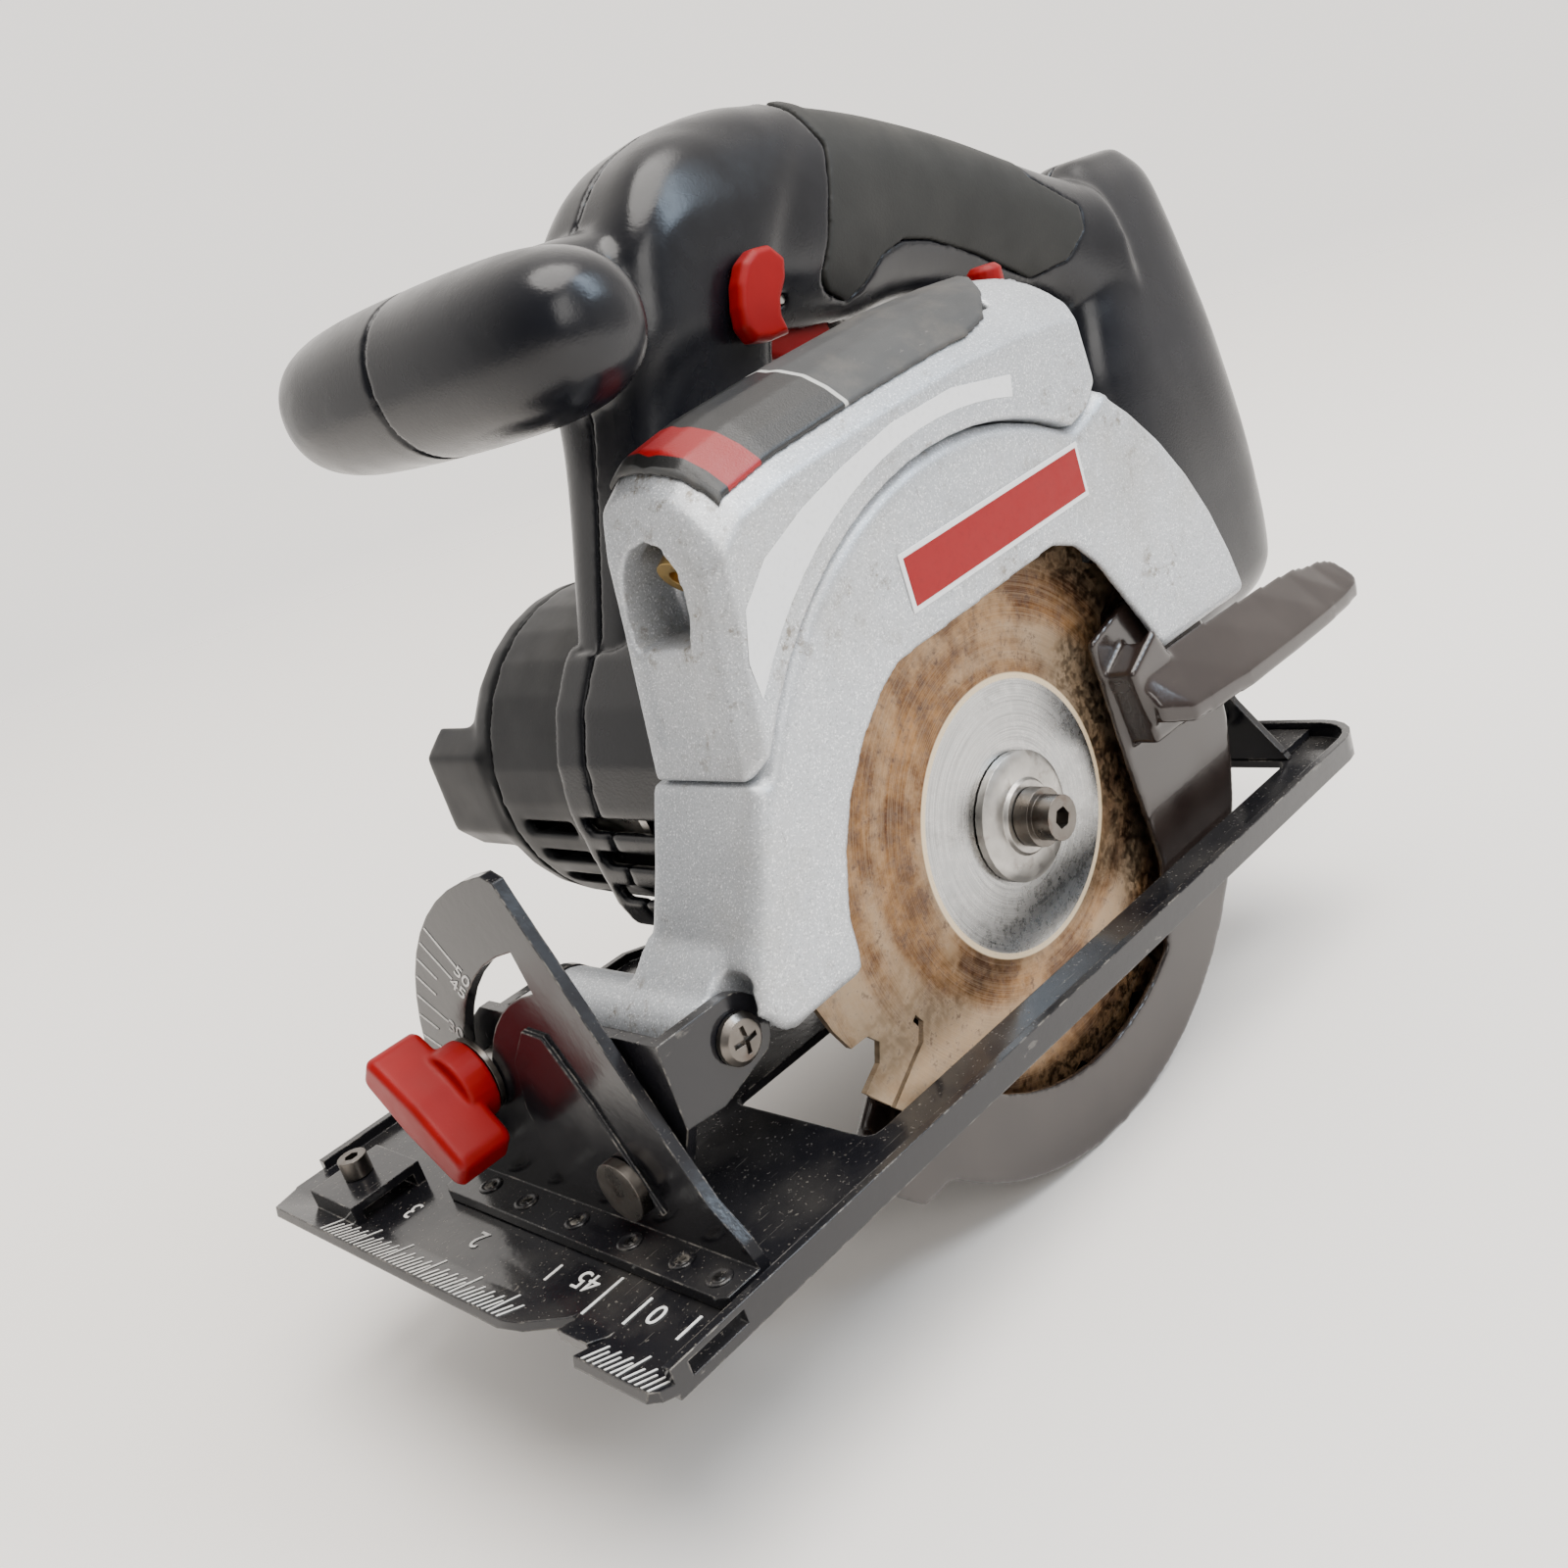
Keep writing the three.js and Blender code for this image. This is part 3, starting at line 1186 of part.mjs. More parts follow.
add("trigger", trigger(), "red");
add("trigger_pin", triggerPin(), "steel");
add("lock_off", lockOff(), "red");
add("switch_body", switchBody(), "blackPlastic");
add("terminal_block", terminalBlock(), "copper");
add("spindle_lock", spindleLock(), "red");
add("depth_screw", depthScrew(), "darkSteel");
add("depth_lever", depthLever(), "red");

export default saw;
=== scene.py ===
# Looks of the cordless trim saw: finishes, smooth mouldings, printed scales, small details,
# light and camera. X points to the saw's front, Y to its blade side and Z up. Tables of
# sections and outlines are in millimetres; everything else is in metres.
import json
import math

import bmesh
import bpy
from mathutils import Matrix, Vector
from mathutils.bvhtree import BVHTree


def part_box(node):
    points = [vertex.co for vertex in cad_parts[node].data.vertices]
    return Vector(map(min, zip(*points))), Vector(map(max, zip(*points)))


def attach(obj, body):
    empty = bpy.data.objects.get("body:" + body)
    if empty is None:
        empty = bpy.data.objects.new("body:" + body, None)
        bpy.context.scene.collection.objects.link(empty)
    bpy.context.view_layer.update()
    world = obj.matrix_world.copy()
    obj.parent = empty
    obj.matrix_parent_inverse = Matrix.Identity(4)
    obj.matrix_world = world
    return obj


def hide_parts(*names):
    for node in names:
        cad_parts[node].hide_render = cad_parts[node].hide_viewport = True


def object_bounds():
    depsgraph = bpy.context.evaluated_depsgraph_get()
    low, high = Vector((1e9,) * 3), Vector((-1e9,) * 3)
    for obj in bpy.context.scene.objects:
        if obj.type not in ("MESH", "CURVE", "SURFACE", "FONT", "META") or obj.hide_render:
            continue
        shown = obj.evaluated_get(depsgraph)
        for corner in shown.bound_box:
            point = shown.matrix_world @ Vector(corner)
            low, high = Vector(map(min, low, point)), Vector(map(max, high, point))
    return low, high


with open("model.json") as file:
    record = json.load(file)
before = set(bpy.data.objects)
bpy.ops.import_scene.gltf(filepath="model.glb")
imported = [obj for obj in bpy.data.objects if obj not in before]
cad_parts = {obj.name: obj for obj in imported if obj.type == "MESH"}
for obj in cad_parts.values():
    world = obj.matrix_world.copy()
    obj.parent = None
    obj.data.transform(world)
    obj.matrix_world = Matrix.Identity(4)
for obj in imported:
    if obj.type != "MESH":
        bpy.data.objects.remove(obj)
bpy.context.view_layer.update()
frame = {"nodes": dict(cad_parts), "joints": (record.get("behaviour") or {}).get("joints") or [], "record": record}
MM = 0.001
nodes = frame["nodes"]
joints = {j["name"]: j for j in frame["joints"]}
slot_of = {s["node"]: s["material_slot"] for s in frame["record"]["subparts"]}
body_of = {n: body for body, names in frame["record"]["behaviour"]["bodies"].items() for n in names}
ARBOR = Vector(joints["blade_spin"]["pos_m"])
TILT = Vector(joints["bevel_tilt"]["pos_m"])


# ---- Materials: helpers. Noise scales are repeats per metre; ramps turn a noise into a mask ----

def tinted(color, factor):
    """A colour made darker or lighter."""
    return [c * factor for c in color]


class Graph:
    """One material's nodes, with the object's own place as their texture space."""

    def __init__(self, name):
        self.material = bpy.data.materials.new(name)
        self.material.use_nodes = True
        self.tree = self.material.node_tree
        self.shader = self.tree.nodes["Principled BSDF"]
        self.coord = self.new("ShaderNodeTexCoord").outputs["Object"]

    def new(self, kind, **settings):
        node = self.tree.nodes.new(kind)
        for key, value in settings.items():
            setattr(node, key, value)
        return node

    def link(self, source, target):
        if hasattr(source, "is_linked"):
            self.tree.links.new(source, target)
        else:
            target.default_value = source

    def axes(self, vector=None):
        """A vector's three numbers, the surface point's if none is given."""
        split = self.new("ShaderNodeSeparateXYZ")
        self.link(self.coord if vector is None else vector, split.inputs[0])
        return split.outputs

    def noise(self, scale, detail=3.0, rough=0.55, vector=None):
        node = self.new("ShaderNodeTexNoise")
        node.inputs["Scale"].default_value = scale
        node.inputs["Detail"].default_value = detail
        node.inputs["Roughness"].default_value = rough
        self.link(self.coord if vector is None else vector, node.inputs["Vector"])
        return node.outputs["Fac"]

    def stretched(self, scale):
        node = self.new("ShaderNodeMapping")
        node.inputs["Scale"].default_value = scale
        self.link(self.coord, node.inputs["Vector"])
        return node.outputs["Vector"]

    def ramp(self, value, low, high, a=0.0, b=1.0):
        node = self.new("ShaderNodeMapRange")
        self.link(value, node.inputs["Value"])
        node.inputs["From Min"].default_value = low
        node.inputs["From Max"].default_value = high
        node.inputs["To Min"].default_value = a
        node.inputs["To Max"].default_value = b
        return node.outputs["Result"]

    def band(self, value, start, stop, soft):
        """1 where the value lies between start and stop, with soft ends."""
        return self.math("MULTIPLY", self.ramp(value, start, start + soft),
                         self.ramp(value, stop, stop - soft))

    def math(self, operation, a, b=0.0):
        node = self.new("ShaderNodeMath", operation=operation)
        self.link(a, node.inputs[0])
        self.link(b, node.inputs[1])
        return node.outputs[0]

    def mix(self, factor, a, b):
        node = self.new("ShaderNodeMix", data_type="RGBA")
        self.link(factor, node.inputs["Factor"])
        for value, socket in ((a, node.inputs["A"]), (b, node.inputs["B"])):
            self.link(value if hasattr(value, "is_linked") else (*value, 1.0), socket)
        return node.outputs["Result"]

    def edges(self, radius):
        """A mask that is 1 on edges and 0 on flats, and a normal that rounds the edges off."""
        soft = self.new("ShaderNodeBevel", samples=4)
        soft.inputs["Radius"].default_value = radius
        flat = self.new("ShaderNodeNewGeometry")
        dot = self.new("ShaderNodeVectorMath", operation="DOT_PRODUCT")
        self.link(soft.outputs["Normal"], dot.inputs[0])
        self.link(flat.outputs["Normal"], dot.inputs[1])
        return self.ramp(dot.outputs["Value"], 0.985, 0.9), soft.outputs["Normal"]

    def upward(self):
        """1 on faces that look up, where dust settles."""
        flat = self.new("ShaderNodeNewGeometry")
        return self.ramp(self.axes(flat.outputs["Normal"])["Z"], 0.1, 0.9)

    def radius_from(self, centre):
        """The distance and the angle of a point about the axis through centre along Y."""
        place = self.axes()
        dx = self.math("SUBTRACT", place["X"], centre.x)
        dz = self.math("SUBTRACT", place["Z"], centre.z)
        square = self.math("ADD", self.math("MULTIPLY", dx, dx), self.math("MULTIPLY", dz, dz))
        return self.math("SQRT", square), self.math("ARCTAN2", dz, dx)

    def finish(self, color, roughness, height=None, depth=0.0002, normal=None, metallic=0.0):
        self.link(color if hasattr(color, "is_linked") else (*color, 1.0),
                  self.shader.inputs["Base Color"])
        self.link(roughness, self.shader.inputs["Roughness"])
        self.link(metallic, self.shader.inputs["Metallic"])
        if height is not None:
            bump = self.new("ShaderNodeBump")
            bump.inputs["Distance"].default_value = depth
            bump.inputs["Strength"].default_value = 1.0
            self.link(height, bump.inputs["Height"])
            if normal is not None:
                self.link(normal, bump.inputs["Normal"])
            normal = bump.outputs["Normal"]
        if normal is not None:
            self.link(normal, self.shader.inputs["Normal"])
        return self.material


# ---- Materials: one function for each kind of surface ----

DUST = (0.36, 0.33, 0.28)


def plastic(name, color, roughness, grain, depth, dust, wear=0.15, shine=0.5):
    """Grained moulded plastic or rubber, scuffed at the edges and dusty on top."""
    g = Graph(name)
    tone = g.ramp(g.noise(35), 0.3, 0.7)
    base = g.mix(tone, tinted(color, 0.8), tinted(color, 1.25))
    edge, normal = g.edges(0.6 * MM)
    worn = g.math("MULTIPLY", edge, g.ramp(g.noise(180), 0.45, 0.62, 0, wear))
    base = g.mix(worn, base, [min(1, c * 3 + 0.04) for c in color])
    film = g.ramp(g.noise(55, 5), 0.45, 0.75, 0, dust)
    specks = g.ramp(g.noise(1500, 2), 0.7, 0.74, 0, dust * 2)
    dirt = g.math("MULTIPLY", g.math("ADD", film, specks), g.upward())
    base = g.mix(dirt, base, DUST)
    rough = g.math("ADD", g.ramp(g.noise(90), 0.3, 0.7, roughness - 0.06, roughness + 0.08),
                   g.math("MULTIPLY", dirt, 0.4))
    g.shader.inputs["Specular IOR Level"].default_value = shine
    return g.finish(base, rough, g.noise(grain, 2), depth, normal)


def paint(name, color, roughness, wear, wear_color, dust):
    """Gloss paint on sheet steel, chipped at the edges, scratched and dusty."""
    g = Graph(name)
    edge, normal = g.edges(0.5 * MM)
    chips = g.ramp(g.noise(260, 6, 0.7), 0.5, 0.6)
    worn = g.math("MULTIPLY", g.math("MULTIPLY", edge, chips), wear)
    tone = g.ramp(g.noise(22, 4), 0.3, 0.7)
    base = g.mix(tone, tinted(color, 0.85), tinted(color, 1.15))
    scratch = g.noise(90, 4, 0.6, g.stretched((1, 18, 3)))
    base = g.mix(g.ramp(scratch, 0.68, 0.72, 0, wear * 0.25), base, wear_color)
    specks = g.ramp(g.noise(1300, 2), 0.66, 0.7, 0, dust)
    film = g.ramp(g.noise(40, 5), 0.45, 0.8, 0, dust * 0.5)
    dirt = g.math("MULTIPLY", g.math("ADD", specks, film), g.upward())
    base = g.mix(dirt, g.mix(worn, base, wear_color), DUST)
    rough = g.math("ADD", g.ramp(g.noise(60, 5), 0.3, 0.7, roughness - 0.05, roughness + 0.1),
                   g.math("MULTIPLY", dirt, 0.5))
    return g.finish(base, rough, g.noise(500, 2), 0.03 * MM, normal)


def silver_casting():
    """Cast light metal under silver paint with dark flakes and painted glints (near-white specks painted into the
    colour where flakes would sparkle), and grime in patches.
    """
    cool_silver, warm_silver = (0.40, 0.425, 0.455), (0.48, 0.50, 0.525)
    # The first colour on the next line is a painted glint: near-white sparkle of the paint's flakes, not the
    # flakes' own colour.
    glint_speck, dark_flake = (0.92, 0.93, 0.95), (0.20, 0.21, 0.225)
    film_color, grime_color = (0.30, 0.275, 0.225), (0.17, 0.14, 0.10)
    scratch_color, worn_color = (0.16, 0.15, 0.14), (0.23, 0.21, 0.18)
    g = Graph("silver_casting")
    edge, normal = g.edges(0.9 * MM)
    base = g.mix(g.ramp(g.noise(14, 4), 0.35, 0.65), cool_silver, warm_silver)
    # Painted glint: fine near-white specks painted into the colour to look like sparkling flakes.
    base = g.mix(g.ramp(g.noise(2600, 1), 0.56, 0.70, 0, 0.7), base, glint_speck)
    base = g.mix(g.ramp(g.noise(2100, 1), 0.58, 0.72, 0, 0.5), base, dark_flake)
    base = g.mix(g.ramp(g.noise(26, 6, 0.7), 0.50, 0.78, 0, 0.5), base, film_color)
    grime = g.math("MULTIPLY", g.ramp(g.noise(260, 6, 0.75), 0.54, 0.64),
                   g.ramp(g.noise(34, 3), 0.50, 0.62, 0, 0.8))
    base = g.mix(grime, base, grime_color)
    scratch = g.noise(70, 5, 0.6, g.stretched((9, 3, 1)))
    base = g.mix(g.ramp(scratch, 0.68, 0.71, 0, 0.4), base, scratch_color)
    worn = g.math("MULTIPLY", edge, g.ramp(g.noise(300, 5), 0.5, 0.62, 0, 0.55))
    base = g.mix(worn, base, worn_color)
    rough = g.ramp(g.noise(70, 5), 0.3, 0.7, 0.32, 0.48)
    return g.finish(base, rough, g.noise(1500, 2), 0.05 * MM, normal, 0.45)


def rusty_blade():
    """Steel rusted outside the flange, brushed round the arbor, with a bright ring at its edge."""
    flange, ring_half, soft = 30 * MM, 0.8 * MM, 0.3 * MM
    dark_rust, light_rust, pit_color = (0.075, 0.030, 0.013), (0.27, 0.140, 0.055), (0.05, 0.020, 0.010)
    pale_rust, streak_color, rim_color = (0.36, 0.27, 0.18), (0.42, 0.31, 0.20), (0.33, 0.26, 0.18)
    dark_steel, light_steel, stain = (0.30, 0.30, 0.30), (0.62, 0.62, 0.61), (0.12, 0.11, 0.10)
    ring_color = (0.66, 0.52, 0.34)
    g = Graph("rusty_blade")
    radius, angle = g.radius_from(ARBOR)

    def swirl(fine, turn):
        place = g.new("ShaderNodeCombineXYZ")
        g.link(g.math("MULTIPLY", radius, fine), place.inputs[0])
        g.link(g.math("MULTIPLY", angle, turn), place.inputs[1])
        return place.outputs[0]

    streak = g.noise(1.0, 4, 0.6, swirl(5200.0, 0.7))
    broad = g.noise(1.0, 2, 0.5, swirl(60.0, 0.6))
    patch = g.noise(75, 9, 0.75)
    pits = g.noise(520, 6, 0.75)
    rust = g.mix(g.ramp(patch, 0.40, 0.60), dark_rust, light_rust)
    pale = g.ramp(g.math("ADD", broad, g.math("MULTIPLY", patch, 0.5)), 0.70, 0.86, 0, 0.7)
    rust = g.mix(pale, rust, pale_rust)
    rust = g.mix(g.ramp(streak, 0.40, 0.75, 0, 0.5), rust, streak_color)
    rust = g.mix(g.ramp(pits, 0.56, 0.66, 0, 0.7), rust, pit_color)
    steel = g.mix(g.ramp(streak, 0.3, 0.7), dark_steel, light_steel)
    steel = g.mix(g.ramp(patch, 0.52, 0.70, 0, 0.5), steel, stain)
    outside = g.ramp(radius, flange, flange + soft)
    near_rim = g.ramp(radius, 54 * MM, 68 * MM, 0, 0.6)
    base = g.mix(g.math("MULTIPLY", near_rim, g.ramp(broad, 0.4, 0.6)), rust, rim_color)
    base = g.mix(outside, steel, base)
    ring = g.band(radius, flange - ring_half, flange + ring_half, soft)
    base = g.mix(ring, base, ring_color)
    metal = g.math("SUBTRACT", 1.0, g.math("MULTIPLY", outside, g.ramp(pits, 0.45, 0.62, 0.05, 0.7)))
    metal = g.math("MULTIPLY", metal, g.math("SUBTRACT", 1.0, ring))
    rough = g.math("ADD", g.ramp(outside, 0, 1, 0.24, 0.36), g.ramp(pits, 0.4, 0.7, 0, 0.15))
    place = g.axes()
    tangent = g.new("ShaderNodeCombineXYZ")
    g.link(g.math("SUBTRACT", place["Z"], ARBOR.z), tangent.inputs[0])
    g.link(g.math("SUBTRACT", ARBOR.x, place["X"]), tangent.inputs[2])
    unit = g.new("ShaderNodeVectorMath", operation="NORMALIZE")
    g.link(tangent.outputs[0], unit.inputs[0])
    g.link(unit.outputs["Vector"], g.shader.inputs["Tangent"])
    g.shader.inputs["Anisotropic"].default_value = 0.7
    height = g.math("ADD", streak, g.math("MULTIPLY", pits, 0.6))
    return g.finish(base, rough, height, 0.02 * MM, None, metal)


def strip_plastic():
    """Dark grey cover with a blank black and red sticker wrapped round its front."""
    sticker, pale_edge, red_band = (25 * MM, 61.2 * MM), (25 * MM, 26.2 * MM), (50 * MM, 59.2 * MM)
    ridge, bow, soft = ARBOR.y - 5 * MM, 0.2, 0.2 * MM
    g = Graph("strip_plastic")
    _, normal = g.edges(0.5 * MM)
    tone = g.ramp(g.noise(35, 5), 0.3, 0.7)
    base = g.mix(tone, (0.032, 0.033, 0.034), (0.055, 0.056, 0.056))
    base = g.mix(g.ramp(g.noise(60, 6, 0.7), 0.48, 0.75, 0, 0.5), base, (0.13, 0.115, 0.095))
    scratch = g.noise(110, 5, 0.6, g.stretched((4, 14, 2)))
    base = g.mix(g.ramp(scratch, 0.66, 0.71, 0, 0.5), base, (0.15, 0.14, 0.13))
    place = g.axes()
    curve = g.math("MULTIPLY", g.math("SUBTRACT", place["Y"], ridge), bow)
    along = g.math("ADD", place["X"], g.math("ABSOLUTE", curve))
    label = g.band(along, *sticker, soft)
    base = g.mix(label, base, (0.012, 0.012, 0.012))
    base = g.mix(g.band(along, *pale_edge, soft), base, (0.5, 0.5, 0.48))
    base = g.mix(g.band(along, *red_band, soft), base, (0.27, 0.002, 0.004))
    rough = g.math("SUBTRACT", g.ramp(g.noise(90, 4), 0.3, 0.7, 0.5, 0.66),
                   g.math("MULTIPLY", label, 0.2))
    return g.finish(base, rough, g.noise(2400, 2), 0.06 * MM, normal)


def bare_metal(name, color, roughness, dirt=0.4):
    """Plain metal with brown stains."""
    g = Graph(name)
    _, normal = g.edges(0.3 * MM)
    tone = g.ramp(g.noise(120, 5), 0.35, 0.65)
    base = g.mix(tone, tinted(color, 0.75), tinted(color, 1.1))
    base = g.mix(g.ramp(g.noise(300, 5), 0.55, 0.68, 0, dirt), base, (0.09, 0.06, 0.045))
    rough = g.ramp(g.noise(200, 4), 0.3, 0.7, roughness - 0.08, roughness + 0.14)
    return g.finish(base, rough, g.noise(900, 2), 0.02 * MM, normal, 1.0)


def smoke():
    """Smoked clear plastic, hazy and scratched."""
    g = Graph("smoke_plastic")
    _, normal = g.edges(0.5 * MM)
    scratch = g.noise(140, 4, 0.6, g.stretched((1, 1, 9)))
    haze = g.ramp(g.noise(50, 5), 0.4, 0.8, 0, 0.25)
    base = g.mix(g.math("ADD", g.ramp(scratch, 0.66, 0.72, 0, 0.3), haze),
                 (0.022, 0.014, 0.012), (0.11, 0.085, 0.07))
    g.shader.inputs["Transmission Weight"].default_value = 0.25
    g.shader.inputs["IOR"].default_value = 1.48
    g.shader.inputs["Coat Weight"].default_value = 0.3
    return g.finish(base, g.ramp(haze, 0, 0.25, 0.16, 0.34), g.noise(700, 2), 0.02 * MM, normal)


def printed(name, color, worn=0.5):
    """Ink or a sticker's face, rubbed thin in places."""
    g = Graph(name)
    base = g.mix(g.ramp(g.noise(900, 4), 0.5, 0.72, 0, worn), color, tinted(color, 0.35))
    rough = g.ramp(g.noise(300, 3), 0.3, 0.7, 0.34, 0.5)
    g.shader.inputs["Specular IOR Level"].default_value = 0.3
    return g.finish(base, rough)


LOOK = {
    "black_paint": paint("black_paint", (0.008, 0.008, 0.010), 0.16, wear=0.9,
                         wear_color=(0.26, 0.24, 0.21), dust=0.22),
    "black_plastic": plastic("black_plastic", (0.0045, 0.005, 0.0075), 0.24, grain=1500,
                             depth=0.03 * MM, dust=0.02, wear=0.1, shine=0.4),
    "grey_plastic": plastic("grey_plastic", (0.014, 0.0145, 0.016), 0.42, grain=1900,
                            depth=0.02 * MM, dust=0.06, shine=0.25),
    "strip_plastic": strip_plastic(),
    "grip_rubber": plastic("grip_rubber", (0.018, 0.018, 0.0165), 0.6, grain=1600,
                           depth=0.04 * MM, dust=0.08, wear=0.1, shine=0.3),
    "red_plastic": plastic("red_plastic", (0.22, 0.0, 0.001), 0.42, grain=1600,
                           depth=0.015 * MM, dust=0.02, wear=0.02, shine=0.2),
    "silver_casting": silver_casting(),
    "steel": bare_metal("steel", (0.52, 0.50, 0.47), 0.34),
    "dark_steel": bare_metal("dark_steel", (0.16, 0.145, 0.13), 0.3, dirt=0.5),
    "brass": bare_metal("brass", (0.62, 0.42, 0.16), 0.32, dirt=0.3),
    "copper": bare_metal("copper", (0.55, 0.26, 0.13), 0.36, dirt=0.3),
    "blade_steel": rusty_blade(),
    "smoke_plastic": smoke(),
    "white_print": printed("white_print", (0.72, 0.72, 0.70)),
    "label_white": printed("label_white", (0.74, 0.75, 0.76), worn=0.12),
    "label_red": printed("label_red", (0.24, 0.001, 0.003), worn=0.15),
}

# ---- Skins and smoothing ----

def weld(obj):
    obj.modifiers.new("weld", "WELD").merge_threshold = 1e-6


def smooth(obj, name, passes):
    modifier = obj.modifiers.new(name, "SMOOTH")
    modifier.factor = 0.5
    modifier.iterations = passes


def soften(obj, voxel, passes):
    """Rounds a cast or moulded solid off; voxel is in millimetres."""
    weld(obj)
    remesh = obj.modifiers.new("skin", "REMESH")
    remesh.mode = "VOXEL"
    remesh.voxel_size = voxel * MM
    remesh.use_smooth_shade = True
    smooth(obj, "soften", passes)


def crisp(obj):
    """Keeps the edges of sheet metal and turned solids sharp, and their curves smooth."""
    weld(obj)
    obj.modifiers.new("creases", "EDGE_SPLIT").split_angle = math.radians(32)


def piece(name, mesh, look, body):
    """A new visible piece that rides on a body."""
    obj = bpy.data.objects.new(name, mesh)
    bpy.context.scene.collection.objects.link(obj)
    mesh.materials.append(LOOK[look])
    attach(obj, body)
    return obj


def closed_mesh(bm, name):
    """A mesh from a closed form, with its faces turned outwards."""
    bmesh.ops.recalc_face_normals(bm, faces=bm.faces)
    mesh = bpy.data.meshes.new(name)
    bm.to_mesh(mesh)
    bm.free()
    return mesh


def skin_over(bm, rings):
    """Joins rings of points into one closed skin."""
    previous = None
    for points in rings:
        ring = [bm.verts.new(point) for point in points]
        if previous is None:
            bm.faces.new(ring)
        else:
            for i in range(len(ring)):
                j = (i + 1) % len(ring)
                bm.faces.new((previous[i], previous[j], ring[j], ring[i]))
        previous = ring
    bm.faces.new(previous)


def remeshed(mesh, voxel, passes):
    """A mesh after welding, voxel skinning and smoothing, with no material."""
    maker = bpy.data.objects.new("maker", mesh)
    bpy.context.scene.collection.objects.link(maker)
    soften(maker, voxel, passes)
    bpy.context.view_layer.update()
    graph = bpy.context.evaluated_depsgraph_get()
    made = bpy.data.meshes.new_from_object(maker.evaluated_get(graph))
    made.materials.clear()
    bpy.data.objects.remove(maker)
    return made


def reshape(node, voxel, passes, drawn, easing):
    """Replaces a node by its own solid, skinned, with each point where drawn puts it."""
    mesh = remeshed(nodes[node].data.copy(), voxel, passes)
    # Moving a point makes Blender work the normals out again, so they are all read first.
    normals = [vertex.normal.copy() for vertex in mesh.vertices]
    points = []
    for vertex, normal in zip(mesh.vertices, normals):
        points.extend(drawn(vertex.co.copy(), normal))
    mesh.vertices.foreach_set("co", points)
    mesh.update()
    obj = piece(node + "_moulding", mesh, slot_of[node], body_of[node])
    smooth(obj, "ease", easing)
    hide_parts(node)


# ---- Moulded handle: smooth surfaces through the same sections as the CAD solids ----
# STRUT and FOOT rows are height, front X, rear X and half width. GRIP and NECK rows are X, top Z,
# bottom Z and half width. SWELL rows are Y and the half sizes in X and Z. Y is from the parting.

PARTING = ARBOR.y - 50 * MM
STRUT = (
    (80, 58, 6, 13), (110, 45, -3, 14.5), (138, 34, -9, 17.5), (152, 31, -14, 20),
    (166, 27, -26, 20), (177, 19, -38, 18), (185, 8, -44, 13), (188.8, -4, -40, 6),
)
GRIP = (
    (10, 184, 148, 16), (-4, 188.6, 143, 18), (-20, 190, 139.6, 18.6), (-40, 187.2, 137.6, 18),
    (-56, 183.6, 138.6, 17), (-72, 178.6, 137, 16.8), (-90, 172, 131.5, 17),
    (-110, 163, 125, 18), (-126, 156.4, 112, 19.5), (-138, 152.5, 104, 21),
)
FOOT = (
    (22, -134, -170, 13), (27, -126, -177, 19), (36, -120, -180, 23.5), (62, -113, -180, 25),
    (99, -109, -178, 23), (121, -115, -174.5, 20.5), (138, -123, -172, 17.5),
    (149, -131, -171, 13.5), (157, -143, -166, 7),
)
NECK = ((8, 172, 142, 16), (28, 173.5, 141.5, 15.5), (62, 172, 141, 14))
SWELL_CENTRE = (62, 156.3)
SWELL_HALF = ((51, 3, 3), (49.5, 8, 7.5), (45.5, 12.4, 11.4), (38, 15.4, 14.2), (24, 17, 15.6))
SWELL = (*SWELL_HALF, (0, 17.4, 16), *((-y, half_x, half_z) for y, half_x, half_z in SWELL_HALF[::-1]))


def slope_between(before, after):
    """A slope at a row that never makes the curve overshoot it."""
    if before is None:
        return after
    if after is None:
        return before
    if before * after <= 0:
        return 0.0
    return 2 * before * after / (before + after) * 0.5 + (before + after) * 0.25


def smooth_rows(rows, steps=7):
    """Rows refined along a cubic curve that never overshoots its sections."""
    keys = [row[0] for row in rows]
    columns = range(1, len(rows[0]))
    rises = [[(high[c] - low[c]) / (high[0] - low[0]) for c in columns]
             for low, high in zip(rows, rows[1:])]
    none = [None for _ in columns]
    slopes = [[slope_between(*pair) for pair in zip(before, after)]
              for before, after in zip([none, *rises], [*rises, none])]
    out = []
    for i in range(len(rows) - 1):
        span = keys[i + 1] - keys[i]
        for k in range(steps):
            t = k / steps
            h = (2 * t ** 3 - 3 * t ** 2 + 1, t ** 3 - 2 * t ** 2 + t,
                 -2 * t ** 3 + 3 * t ** 2, t ** 3 - t ** 2)
            out.append((keys[i] + span * t,) + tuple(
                h[0] * rows[i][c] + h[1] * span * slopes[i][c - 1]
                + h[2] * rows[i + 1][c] + h[3] * span * slopes[i + 1][c - 1]
                for c in columns))
    out.append(rows[-1])
    return out


def rounded_ring(row, power, place, count=64):
    """A section between an ellipse (power 2) and a rectangle; place turns it into points."""
    for i in range(count):
        angle = 2 * math.pi * i / count
        c, s = math.cos(angle), math.sin(angle)
        a = math.copysign(abs(c) ** (2 / power), c)
        b = math.copysign(abs(s) ** (2 / power), s)
        yield Vector(place(row, a, b)) * MM + Vector((0, PARTING, 0))


def upright(row, a, b):
    z, front, rear, half = row
    return (front + rear) / 2 + a * (front - rear) / 2, b * half, z


def lying(row, a, b):
    x, top, bottom, half = row
    return x, b * half, (top + bottom) / 2 + a * (top - bottom) / 2


def across(row, a, b):
    y, half_x, half_z = row
    return SWELL_CENTRE[0] + a * half_x, y, SWELL_CENTRE[1] + b * half_z


